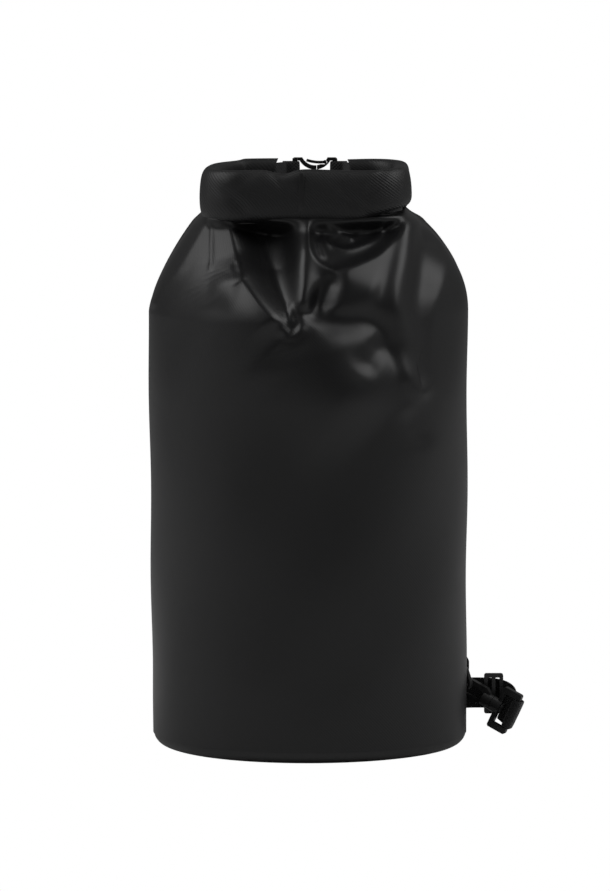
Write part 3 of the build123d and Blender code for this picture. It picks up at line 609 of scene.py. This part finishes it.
SIDE_POCKETS = (
    ([(14, 349), (20, 306), (32, 276), (44, 262), (54, 272), (64, 300), (70, 349)], 7, 2.2, 9, 9, OPEN_TOP),
)


def fold_height(points, turn):
    """All the folds together, in mm, each set drawn as seen from its own side and faded out past it."""
    x, y, z = points[..., 0], points[..., 1], points[..., 2]
    angle = np.radians(turn)
    seen_up = z * np.cos(SEEN_TILT) + y * np.sin(SEEN_TILT)
    height = np.zeros(x.shape)
    side = smooth(np.abs(np.sin(angle)), 0.45, 0.8) * smooth(-np.cos(angle), 0.02, 0.3)
    faces = (
        (FRONT_FUNNELS, FRONT_POCKETS, FRONT_CREASES, x, seen_up, smooth(np.cos(angle), 0.0, 0.3)),
        ((), BACK_POCKETS, BACK_CREASES, -x, z, smooth(-np.cos(angle), 0.25, 0.55)),
        ((), SIDE_POCKETS, (), y, z, side * (x > 0)),
        ((), SIDE_POCKETS, (), 78 - y, z, side * (x < 0)),
    )
    for funnels, pockets, creases, across, up, weight in faces:
        for shape, folds in ((funnel, funnels), (pocket, pockets), (crease, creases)):
            for fold in folds:
                height = height + weight * shape(across, up, *fold)
    height = height - 6.0 * smooth(z, 228, 300) * smooth(np.cos(angle), 0.1, 0.7)
    ripple = 0.5 * np.sin(3 * angle + z / 31 + 0.7) * np.sin(z / 47 + 1.9) + 0.3 * np.sin(7 * angle - z / 19)
    ripple *= smooth(z, 12, 60)
    calm = 1 - smooth(z, NECK_Z - 9, NECK_Z - 1)
    round_turn = np.mod(turn, 360)
    from_edge = np.minimum(np.abs(round_turn - END_RIGHT), np.abs(round_turn - 360 + END_LEFT))
    tucked = 1 - (1 - smooth(from_edge, 1, 12)) * smooth(z, TUBE_TOP_Z - 60, TUBE_TOP_Z - 25)
    return (height + ripple) * calm * tucked


def skin_point(turn, level, lift=0.0):
    """The folded bag in mm: the unfolded shape moved along its own normal by the folds and a lift."""
    step = 0.4
    here = bag_shape(turn, level)
    sideways = bag_shape(turn + step, level) - bag_shape(turn - step, level)
    upwards = bag_shape(turn, level + step) - bag_shape(turn, level - step)
    normal = unit(np.cross(sideways, upwards))
    level_out = 1 - 0.8 * smooth(np.cos(np.radians(turn)), 0.0, 0.3)
    normal = unit(np.stack([normal[..., 0], normal[..., 1], normal[..., 2] * level_out], -1))
    return here + normal * (fold_height(here, turn) + lift)[..., None]


# %% [markdown]
# The columns are packed closely where the folds are, across the front, and round the inside of the
# loop, where a few degrees of tube spread into a long edge. Rows are closest in the shoulders.

# %% Skin mesh
front_turns = np.linspace(-90, 90, 231)[:-1]
right_turns = np.linspace(90, END_RIGHT, 34)
back_turns = np.linspace(END_RIGHT + 0.15, 360 - END_LEFT - 0.15, 96)
left_turns = np.linspace(360 - END_LEFT, 270, 34)[:-1]
turns = np.concatenate([front_turns, right_turns, back_turns, left_turns])
levels = np.concatenate([np.linspace(FOOT_Z - 0.4, 222, 62)[:-1], np.linspace(222, NECK_Z, 116)])
turn_grid, level_grid = np.meshgrid(turns, levels)
skin_grid = skin_point(turn_grid, level_grid, 0.3)
wrapped = np.concatenate([turns, [270.0]])
skin_map = np.stack(np.broadcast_arrays(np.radians(wrapped)[None] * TUBE_RADIUS, levels[:, None]), -1) * MM
bag_skin = grid_piece("bag_skin", skin_grid * MM, skin_map, COATED_FABRIC, sharp=60)
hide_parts("body_shell")

# %% [markdown]
# ## The base
# A disc of the same fabric is welded in from below. Its rim turns up through a small radius, and the
# foot of the tube laps outside it, so a thin line runs round the bag just above the floor.

# %% Base disc
BASE_CORNER = 8.5


def dish(radius, corner, rim, columns=220):
    """Half section of the dish turned about Z: flat floor, quarter-round corner, upright rim."""
    floor_r = np.linspace(2, radius - corner, 14)
    arc = np.linspace(-np.pi / 2, 0, 14)[1:]
    r = np.concatenate([floor_r, radius - corner + corner * np.cos(arc), [radius, radius - 1.0]])
    z = np.concatenate([np.zeros(14), corner + corner * np.sin(arc), [rim, rim]])
    z = z + 0.35 * np.exp(-((r - (radius - corner - 4)) / 1.5) ** 2) * (z < 0.5)
    turn = np.radians(np.linspace(0, 360, columns, endpoint=False))
    lean = 1 - 0.03 * smooth(-np.sin(turn), 0.2, 1)
    x, y = r[:, None] * (np.sin(turn) * lean), -r[:, None] * np.cos(turn)
    grid = np.stack(np.broadcast_arrays(x, y, z[:, None]), -1)
    return grid, np.stack([r, z], -1)


base_grid, base_profile = dish(TUBE_RADIUS, BASE_CORNER, FOOT_Z + 2.0)
base_map = np.broadcast_to(base_profile[:, None] * MM, (*base_grid.shape[:1], base_grid.shape[1] + 1, 2))
# The base's finish is lighter than the skin's, a painted reflection of the floor.
bag_base = grid_piece("bag_base", base_grid * MM, base_map, BASE_FABRIC_PAINTED_LIGHTER, sharp=60)
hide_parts("base_disc", "base_weld_band")


# %% [markdown]
# ## Patches and laps
# A welded patch is a thin plate laid on the skin: a rounded outline shrunk towards its centre, at the
# same surface formula as the skin with a small lift, so it follows the bag wherever it bends. Two
# shallow grooves near its edge are the marks of the welding bar.


# %% Laid patches
def laid_patch(name, turn, level, half_wide, half_tall, thick, squareness, material, rings=26, columns=120):
    """Rows run from the middle out to the edge and back underneath; columns run round the outline."""
    out = np.concatenate([np.linspace(0.02, 1, rings), np.linspace(0.995, 0.02, 6)])
    top = np.arange(len(out)) < rings
    a = np.radians(np.linspace(0, 360, columns, endpoint=False))
    reach = (np.abs(np.sin(a)) ** squareness + np.abs(np.cos(a)) ** squareness) ** (-1 / squareness)
    wide = half_wide * out[:, None] * reach * np.sin(a)
    tall = half_tall * out[:, None] * reach * np.cos(a)
    groove = 0.22 * np.exp(-((out - 0.90) / 0.018) ** 2) + 0.16 * np.exp(-((out - 0.84) / 0.018) ** 2)
    lift = np.where(top, thick * (1 - np.clip((out - 0.93) / 0.07, 0, 1) ** 3 * 0.8) - groove, -0.4)
    grid = skin_point(turn + np.degrees(wide / TUBE_RADIUS), level + tall, lift[:, None] + 0.3)
    flat = np.stack([wide, tall], -1)
    flat = np.concatenate([flat, flat[:, :1]], 1)
    return grid_piece(name, grid * MM, flat * MM, material, sharp=50)


LOWER_RING_TURN = 112.0
UPPER_RING_TURN = 180.0
RING_LEVELS = {"lower": 43.8, "upper": 262.0}
PATCH_RISE = 4.6
PATCH_LIFT = 0.5
for which, ring_turn in (("lower", LOWER_RING_TURN), ("upper", UPPER_RING_TURN)):
    patch_level = RING_LEVELS[which] + PATCH_RISE
    patch = laid_patch(f"{which}_weld_patch", ring_turn, patch_level, 21, 28, PATCH_LIFT, 5, WELD_TAPE)
    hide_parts(f"{which}_ring_patch")

seam_lap = laid_patch("back_seam_lap", 180, 143, 7, 131, 0.55, 14, WELD_TAPE, columns=400)
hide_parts("back_seam_tape")


# %% [markdown]
# ## The rolled closure
# The mouth is rolled two and a half turns round the stiff strip. Its section is a flattened spiral, a
# band of even thickness, and the whole section is carried round the loop. The layers show where the
# two ends are cut.


# %% Paths with rounded corners
def rounded_path(corners, radii, step=1.0):
    """Straight runs joined by arcs: each arc starts radius * tan(half the turn) from its corner."""
    p = np.array(corners, dtype=float)
    pieces = [p[:1]]
    for before, corner, after, radius in zip(p[:-2], p[1:-1], p[2:], radii):
        coming = unit(corner - before)
        going = unit(after - corner)
        turn = math.acos(float(np.clip(coming @ going, -1, 1)))
        back = radius * math.tan(turn / 2)
        normal = unit(going - coming * (coming @ going))
        centre = corner - coming * back + normal * radius
        sweep = np.linspace(0, turn, max(4, int(turn * radius / step) + 2))[:, None]
        pieces.append(centre + radius * (coming * np.sin(sweep) - normal * np.cos(sweep)))
    pieces.append(p[-1:])
    joined = np.concatenate(pieces)
    keep = np.concatenate([[True], np.linalg.norm(np.diff(joined, axis=0), axis=1) > 1e-6])
    return even_steps(joined[keep], step)


def even_steps(path, step):
    """The same path with points an even distance apart."""
    spans = np.linalg.norm(np.diff(path, axis=0), axis=1)
    done = np.concatenate([[0], np.cumsum(spans)])
    count = max(3, int(round(done[-1] / step)) + 1)
    where = np.linspace(0, done[-1], count)
    return np.stack([np.interp(where, done, path[:, k]) for k in range(path.shape[1])], -1)


# %% Spiral section
ROLL_TURNS = 2.5
SHEET = 0.8
LOOP_BEND = 21.0


def spiral_section(per_turn=44):
    """Radius grows evenly with the angle; |cos| and |sin| raised to 2/3 square the oval off."""
    s = np.linspace(0, 1, int(ROLL_TURNS * per_turn))
    angle = -math.pi / 2 + math.tau * ROLL_TURNS * (s - 1)
    wide = 1.5 + (ROLL_HALF - SHEET / 2 - 1.5) * s
    tall = 13.2 + (16 - SHEET / 2 - 13.2) * s
    line = np.stack([
        wide * np.sign(np.cos(angle)) * np.abs(np.cos(angle)) ** 0.62,
        tall * np.sign(np.sin(angle)) * np.abs(np.sin(angle)) ** 0.5,
    ], -1)
    line = even_steps(line, 1.25)
    tangent = unit(np.gradient(line, axis=0))
    normal = np.stack([tangent[:, 1], -tangent[:, 0]], -1)
    return np.concatenate([line + normal * SHEET / 2, (line - normal * SHEET / 2)[::-1]])


# %% Rolled collar mesh
loop_corners = [
    (ROLL_END_LEFT, LOOP_BACK), (LOOP_LEFT, LOOP_BACK), (LOOP_LEFT, LOOP_FRONT),
    (LOOP_RIGHT, LOOP_FRONT), (LOOP_RIGHT, LOOP_BACK), (ROLL_END_RIGHT, LOOP_BACK),
]
loop = rounded_path(loop_corners, [LOOP_BEND] * 4, 1.5)
loop_tangent = unit(np.gradient(loop, axis=0))
loop_outward = np.stack([-loop_tangent[:, 1], loop_tangent[:, 0]], -1)
loop_outward *= -np.sign(np.sum(loop_outward[len(loop) // 2] * [0, 1]))
section = spiral_section()
ROLL_MID_Z = (ROLL_BOTTOM_Z + ROLL_TOP_Z) / 2


# depth, place across, lean, level where it crosses that place, width, and whether it is on the top half
ROLL_CREASES = (
    (1.5, -20, 0.5, 12, 4.0, True), (0.9, -42, -0.9, 8, 5.0, True), (1.6, 44, -0.8, 10, 4.0, True),
    (1.1, -38, 0.8, -12, 4.5, False), (1.1, 38, 0.9, -12, 4.5, False),
)


def roll_shape(section, loop, outward, tangent):
    """The section at each place of the loop, pinched at the right, creased, and cut on the slant."""
    x, y = loop[:, :1], loop[:, 1:]
    out, up = section[None, :, 0], section[None, :, 1]
    front = smooth(-y, 0, 40)
    above = smooth(up, -4, 12)
    dents = 0.0
    for depth, place, lean, level, width, high in ROLL_CREASES:
        half = above if high else 1 - above
        dents = dents + depth * np.exp(-((x - place + lean * (up - level)) / width) ** 2) * half
    creases = front * dents
    puff = 0.6 * np.sin(x / 9 + up / 8) + 0.4 * np.sin(x / 4.1 + y / 6 + 1.0)
    outside = smooth(out, 0, ROLL_HALF)
    belly = (2.0 * np.cos(np.pi * up / 34) - 0.10 * up) * outside * front
    proud = out * (1 + 0.05 * puff) + belly - creases * outside
    spot = loop[:, None] + outward[:, None] * proud[..., None]
    share = np.linspace(0, 1, len(loop))[:, None]
    slant = 0.45 * up * (smooth(share, 0.94, 1) - (1 - smooth(share, 0, 0.06)))
    spot = spot + tangent[:, None] * slant[..., None]
    narrow = 12 * smooth(-spot[..., 0], 36, 60) * smooth(spot[..., 1], -30, 40)
    spot = spot + narrow[..., None] * np.array([1.0, 0.0])
    dip = 3.2 * np.exp(-((x + 16) / 8.0) ** 2) * smooth(up, 8, 16) * front
    hang = 3.0 * smooth(-up, 2, 14) * front * (1 - smooth(x, 20, 62))
    pinch = 5.0 * smooth(x, 22, 62) * smooth(-up, 0, 16) * smooth(-y, -25, 25)
    wave = 0.5 * np.sin(x / 14 + y / 11)
    height = ROLL_MID_Z + up + wave - dip - hang + pinch - 0.5
    return np.concatenate([spot, height[..., None]], -1)


roll_grid = roll_shape(section, loop, loop_outward, loop_tangent)
around = np.concatenate([[0], np.cumsum(np.linalg.norm(np.diff(section, axis=0), axis=1)), [0]])
roll_map = np.stack(np.broadcast_arrays(np.arange(len(loop))[:, None] * 1.5, around[None]), -1) * MM
# The collar's finish is a lighter copy of the skin's fabric, a painted highlight on the roll.
rolled_collar = grid_piece("rolled_collar", roll_grid * MM, roll_map, ROLLED_FABRIC_PAINTED_LIGHTER, sharp=50)
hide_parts("roll_collar")


# %% [markdown]
# ## Webbing
# A webbing band is a flat rounded section carried along a path. Each point of the path has its own
# width direction, so the same function makes the short closure webbings, the tabs round the rings and
# the twisting strap.


# %% Bands of webbing
WEB_WIDTH = 20.0
WEB_THICKNESS = 1.4


def web_section(width, thickness, columns=44):
    """A stadium drawn as a superellipse: wide in the first direction, thin in the second."""
    a = np.linspace(0, math.tau, columns, endpoint=False)
    across = np.sign(np.cos(a)) * np.abs(np.cos(a)) ** 0.55 * width / 2
    through = np.sign(np.sin(a)) * np.abs(np.sin(a)) ** 0.45 * thickness / 2
    return across, through


def web_band(name, path, wide, material=WEBBING, body="root", width=WEB_WIDTH, thickness=WEB_THICKNESS):
    """point = path + across * width direction + through * (tangent x width direction)."""
    tangent = unit(np.gradient(path, axis=0))
    wide = np.broadcast_to(np.asarray(wide, dtype=float), path.shape)
    wide = unit(wide - tangent * np.sum(wide * tangent, -1, keepdims=True))
    face = np.cross(tangent, wide)
    across, through = web_section(width, thickness)
    grid = path[:, None] + across[None, :, None] * wide[:, None] + through[None, :, None] * face[:, None]
    length = np.concatenate([[0], np.cumsum(np.linalg.norm(np.diff(path, axis=0), axis=1))])
    loop_across = np.concatenate([across, across[:1]])
    flat = np.stack(np.broadcast_arrays(loop_across[None], length[:, None]), -1)
    band = grid_piece(name, grid * MM, flat * MM, material, body, sharp=60)
    print(f"{name}: {length[-1]:.0f} mm long")
    return band


# %% Closure webbings
BUCKLE_Y = 52.0
BUCKLE_Z = 364.5
BAR_RADIUS = 1.6
WEB_CLEARANCE = 0.3
bar_wrap = BAR_RADIUS + WEB_CLEARANCE + WEB_THICKNESS / 2


def closure_path(end_x, bar_x, inward):
    """Out of the roll's core, round the buckle's bar and back along itself."""
    near, far = BUCKLE_Y - bar_wrap, BUCKLE_Y + bar_wrap
    turn_x = bar_x + inward * bar_wrap
    corners = [
        (end_x - inward * 6, LOOP_BACK), (end_x + inward * 4.5, LOOP_BACK), (bar_x - inward * 5.5, near),
        (turn_x, near), (turn_x, far), (bar_x - inward * 8, far),
    ]
    path = rounded_path(corners, [3.0, 3.0, bar_wrap - 0.01, bar_wrap - 0.01], 0.6)
    return np.concatenate([path, np.full((len(path), 1), BUCKLE_Z)], 1)


left_web = web_band("closure_web_left", closure_path(ROLL_END_LEFT, -8.2, 1), (0, 0, 1))
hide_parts("closure_webbing_left")
right_web = web_band("closure_web_right", closure_path(ROLL_END_RIGHT, 17.9, -1), (0, 0, 1), body=None)
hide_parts("closure_webbing_right")


# %% Tabs round the rings
RING_WIRE = 3.0
RING_BAR_RADIUS = {"lower": 107.10, "upper": 107.80}
ring_wrap = RING_WIRE / 2 + WEB_CLEARANCE + WEB_THICKNESS / 2


def ring_tab(which, ring_turn):
    """Webbing up the patch, under the ring's bar and back up over itself, in a plane through the axis."""
    bar, z = RING_BAR_RADIUS[which], RING_LEVELS[which]
    near, far = bar - ring_wrap, bar + ring_wrap
    outer = near + WEB_THICKNESS + 0.15
    corners = [
        (near, z + 26), (near, z - ring_wrap), (far, z - ring_wrap),
        (far, z + 5), (outer, z + 11), (outer, z + 25),
    ]
    path = rounded_path(corners, [ring_wrap - 0.01, ring_wrap - 0.01, 2.2, 2.2], 0.6)
    angle = math.radians(ring_turn)
    outward = np.array([math.sin(angle), -math.cos(angle), 0])
    sideways = np.array([math.cos(angle), math.sin(angle), 0])
    band = web_band(f"{which}_ring_loop", path[:, :1] * outward + path[:, 1:] * [0, 0, 1], sideways)
    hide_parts(f"{which}_ring_tab")
    return outer, outward, sideways


# %% [markdown]
# ### Stitching
# Sewn thread shows as short plump stitches. One stitch is a small ellipsoid of a few faces, and a row
# of them is the same ellipsoid placed and turned at even steps along a line, all in one array.


# %% Stitches
STITCH_LENGTH = 2.6
STITCH_RADIUS = 0.32


def stitches(name, lines, facing, body="root"):
    """Ellipsoids end to end along each line: point = centre + cos * length * along + sin * radius * round."""
    starts, ends, fronts = [], [], []
    for line in lines:
        path = even_steps(np.array(line, dtype=float), STITCH_LENGTH)
        starts.append(path[:-1])
        ends.append(path[1:])
        fronts.append(np.broadcast_to(np.asarray(facing, dtype=float), path[1:].shape))
    starts, ends, fronts = (np.concatenate(a) for a in (starts, ends, fronts))
    along = ends - starts
    half = np.linalg.norm(along, axis=1, keepdims=True) * 0.44
    along = unit(along)
    side = unit(np.cross(along, fronts))
    up = np.cross(side, along)
    ring = np.radians(np.arange(0, 360, 60))
    lat = np.radians([-72, -30, 30, 72])
    local_along = np.sin(lat)[:, None] * np.ones(6)
    local_side = np.cos(lat)[:, None] * np.cos(ring)
    local_up = np.cos(lat)[:, None] * np.sin(ring)
    points = (
        (starts + ends)[:, None, None] / 2
        + local_along[None, ..., None] * (along * half)[:, None, None]
        + STITCH_RADIUS * local_side[None, ..., None] * side[:, None, None]
        + STITCH_RADIUS * local_up[None, ..., None] * up[:, None, None]
    )
    count = len(starts)
    i, j = (a.ravel() for a in np.mgrid[0:3, 0:6])
    k = (j + 1) % 6
    quads = np.stack([i * 6 + j, i * 6 + k, (i + 1) * 6 + k, (i + 1) * 6 + j], 1)
    if signed_volume(points[0].reshape(-1, 3) - points[0].reshape(-1, 3).mean(0), quads) < 0:
        quads = quads[:, ::-1]
        caps = [list(range(6)), list(range(18, 24))[::-1]]
    else:
        caps = [list(range(6))[::-1], list(range(18, 24))]
    offsets = np.arange(count)[:, None, None] * 24
    faces = (quads[None] + offsets).reshape(-1, 4).tolist()
    faces += (np.array(caps)[None] + offsets).reshape(-1, 6).tolist()
    mesh = bpy.data.meshes.new(name)
    mesh.from_pydata((points.reshape(-1, 3) * MM).tolist(), [], faces)
    mesh.polygons.foreach_set("use_smooth", np.ones(len(mesh.polygons), dtype=bool))
    mesh.materials.append(THREAD)
    piece = bpy.data.objects.new(name, mesh)
    bpy.context.scene.collection.objects.link(piece)
    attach(piece, body)
    print(f"{name}: {count} stitches")


def boxed_cross(centre, first, second, half_first, half_second):
    """A box of stitches with a cross in it, in the plane of two directions."""
    def at(a, b):
        return centre + np.asarray(first) * a * half_first + np.asarray(second) * b * half_second
    box = [at(-1, -1), at(1, -1), at(1, 1), at(-1, 1), at(-1, -1)]
    return [box, [at(-1, -1), at(1, 1)], [at(-1, 1), at(1, -1)]]


for which, ring_turn in (("lower", LOWER_RING_TURN), ("upper", UPPER_RING_TURN)):
    tab_radius, outward, sideways = ring_tab(which, ring_turn)
    middle = outward * (tab_radius + 0.75) + np.array([0, 0, RING_LEVELS[which] + 18.5])
    stitches(f"{which}_tab_stitching", boxed_cross(middle, sideways, (0, 0, 1), 7.6, 5.2), outward)


# %% [markdown]
# ## The strap
# The strap leaves the lower hook's frame, runs round behind the bag, makes one slack loop on the floor
# and climbs the back to the upper hook. Its route is a short list of places, each with the direction
# of its width, and a spline drawn through them gives the soft curve of loose webbing.

# %% Frames of the two hooks
FRAME_BAR_X = 2.6
strap_wrap = 1.6 + WEB_CLEARANCE + WEB_THICKNESS / 2
LOWER_BAR = np.array([131.307, 31.442, 15.021])
UPPER_BAR = np.array([0.0, 113.291, 213.267])
slope, yaw = math.radians(26), math.radians(-20)
lower_x = np.array([math.cos(yaw) * math.cos(slope), math.sin(yaw) * math.cos(slope), -math.sin(slope)])
lower_y = np.array([-math.sin(yaw), math.cos(yaw), 0.0])
lower_z = np.cross(lower_x, lower_y)
upper_x, upper_y, upper_z = (np.array(v, dtype=float) for v in ((0, 0, -1), (0, 1, 0), (1, 0, 0)))


def in_frame(path, origin, along_x, along_y):
    """Points drawn in a hook's own X and Y, put where the hook is."""
    return origin + path[:, :1] * along_x + path[:, 1:] * along_y


near_bar, far_bar = FRAME_BAR_X - strap_wrap, FRAME_BAR_X + strap_wrap
low_corners = [
    (-5, 12.5), (far_bar, 5.5), (far_bar, -strap_wrap), (near_bar, -strap_wrap), (near_bar, 4.2), (-7, 9.2),
]
low_radii = [2.0, strap_wrap - 0.01, strap_wrap - 0.01, 2.0]
low_loop = in_frame(rounded_path(low_corners, low_radii, 0.6), LOWER_BAR, lower_x, lower_y)
tail = WEB_THICKNESS / 2 + 0.05
high_corners = [
    (12, tail), (7.5, tail), (4.6, strap_wrap), (near_bar, strap_wrap),
    (near_bar, -strap_wrap), (4.6, -strap_wrap), (7.5, -tail), (30, -tail),
]
high_radii = [2.0, 1.5, strap_wrap - 0.01, strap_wrap - 0.01, 1.5, 2.0]
high_loop = in_frame(rounded_path(high_corners, high_radii, 0.6), UPPER_BAR, upper_x, upper_y)

# %% Strap route
STRAP_ROUTE = (
    ((134.4, 47.6, 20.5), 90), ((130.6, 51.0, 24.2), 90), ((122.5, 50.8, 25.2), 90),
    ((113.5, 52.8, 25.0), 90), ((105.0, 58.5, 24.2), 90), ((93.0, 70.5, 21.5), 90),
    ((73.0, 89.0, 16.0), 90), ((46.0, 105.0, 12.0), 90), ((14.0, 120.0, 10.8), 90),
    ((-18.0, 138.0, 10.8), 90), ((-38.0, 163.0, 10.8), 90), ((-31.0, 189.0, 10.8), 90),
    ((-7.0, 199.0, 10.6), 85), ((12.0, 187.0, 9.2), 62), ((11.0, 166.0, 5.9), 32),
    ((4.0, 146.0, 3.4), 10), ((0.0, 128.0, 6.6), 0), ((0.0, 118.0, 19.0), 0),
    ((0.0, 114.0, 46.0), 0), ((0.0, 113.0, 100.0), 0), ((0.0, 113.0, 160.0), 0),
)


def width_directions(points, twists):
    """width = level * cos(twist) + upright * sin(twist), both square to the route."""
    along = unit(np.gradient(points, axis=0))
    level = np.cross([0.0, 0.0, 1.0], along)
    level = np.where(np.linalg.norm(level, axis=1, keepdims=True) < 0.6, [1.0, 0.0, 0.0], level)
    level = unit(level) * np.where(level[:, :1] < 0, -1, 1)
    upright = unit(np.cross(along, level))
    upright = upright * np.where(upright[:, 2:] < 0, -1, 1)
    twist = np.radians(twists)[:, None]
    return unit(level * np.cos(twist) + upright * np.sin(twist))


def soften(values, passes):
    """Each point becomes the mean of itself and its neighbours, with both ends held."""
    for _ in range(passes):
        middle = (values[:-2] + 2 * values[1:-1] + values[2:]) / 4
        values = np.concatenate([values[:1], middle, values[-1:]])
    return values


route = np.array([place for place, _ in STRAP_ROUTE])
route_wide = width_directions(route, np.array([twist for _, twist in STRAP_ROUTE], dtype=float))
free = np.concatenate([low_loop[:1], route, high_loop[-1:]])
free_wide = np.concatenate([lower_z[None], route_wide, upper_z[None]])
free_wide *= np.sign(np.sum(free_wide * free_wide[[0] + list(range(len(free_wide) - 1))], -1, keepdims=True))
spans = np.concatenate([[0], np.cumsum(np.linalg.norm(np.diff(free, axis=0), axis=1))])
where = np.linspace(0, spans[-1], int(spans[-1] / 1.5))
free_path = soften(np.stack([np.interp(where, spans, free[:, k]) for k in range(3)], -1), 40)
wide_path = soften(np.stack([np.interp(where, spans, free_wide[:, k]) for k in range(3)], -1), 40)
strap_path = np.concatenate([low_loop[:0:-1], free_path, high_loop[-2::-1]])
flip = np.sign(wide_path[0] @ lower_z), np.sign(wide_path[-1] @ upper_z)
low_wide = np.tile(lower_z * flip[0], (len(low_loop) - 1, 1))
high_wide = np.tile(upper_z * flip[1], (len(high_loop) - 1, 1))
strap_wide = np.concatenate([low_wide, wide_path, high_wide])
strap = web_band("carry_strap", strap_path, strap_wide)
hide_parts("shoulder_strap")

sewn_middle = np.array([0, 113.291 + tail + 0.75, 202.5])
stitches("strap_end_stitching", boxed_cross(sewn_middle, (1, 0, 0), (0, 0, 1), 7.6, 1.8), (0, 1, 0))

# %% [markdown]
# ## Hard parts
# The buckle, rings, hooks, frames and slider are already the right shape in the frame, so they stay
# and only get their finish.

# %% Finishes for the frame's own parts
HARD_PARTS = {
    "buckle_female": BUCKLE_PLASTIC, "buckle_male": BUCKLE_PLASTIC,
    "buckle_prong_upper": BUCKLE_PLASTIC, "buckle_prong_lower": BUCKLE_PLASTIC,
    "lower_ring": HOOK_PLASTIC, "upper_ring": HOOK_PLASTIC,
    "lower_swivel_frame": HOOK_PLASTIC, "upper_swivel_frame": HOOK_PLASTIC,
    "lower_hook": HOOK_PLASTIC, "upper_hook": HOOK_PLASTIC,
    "lower_hook_gate": BUCKLE_PLASTIC, "upper_hook_gate": BUCKLE_PLASTIC,
    "strap_slider": HOOK_PLASTIC, "collar_stiffener": STIFF_STRIP,
}
for part_name, part_finish in HARD_PARTS.items():
    part_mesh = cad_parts[part_name].data
    part_mesh.materials.clear()
    part_mesh.materials.append(part_finish)
print("finished", len(HARD_PARTS), "hard parts")

# %% Seam ridge
ridge_z = np.linspace(-13, 13, 60)
ridge_y = LOOP_FRONT - ROLL_HALF * (1 - np.abs(ridge_z / 16) ** 3) ** (1 / 3) - 0.1
ridge_path = np.stack([np.full(60, -4.0) + 0.25 * np.sin(ridge_z / 5), ridge_y, ROLL_MID_Z + ridge_z], -1)
ridge = web_band("collar_weld_ridge", ridge_path, (1, 0, 0), COATED_FABRIC, width=3.2, thickness=0.9)
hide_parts("collar_seam_ridge")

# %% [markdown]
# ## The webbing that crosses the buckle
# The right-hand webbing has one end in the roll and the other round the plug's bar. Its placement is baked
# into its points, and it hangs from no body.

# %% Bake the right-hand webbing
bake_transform(right_web)
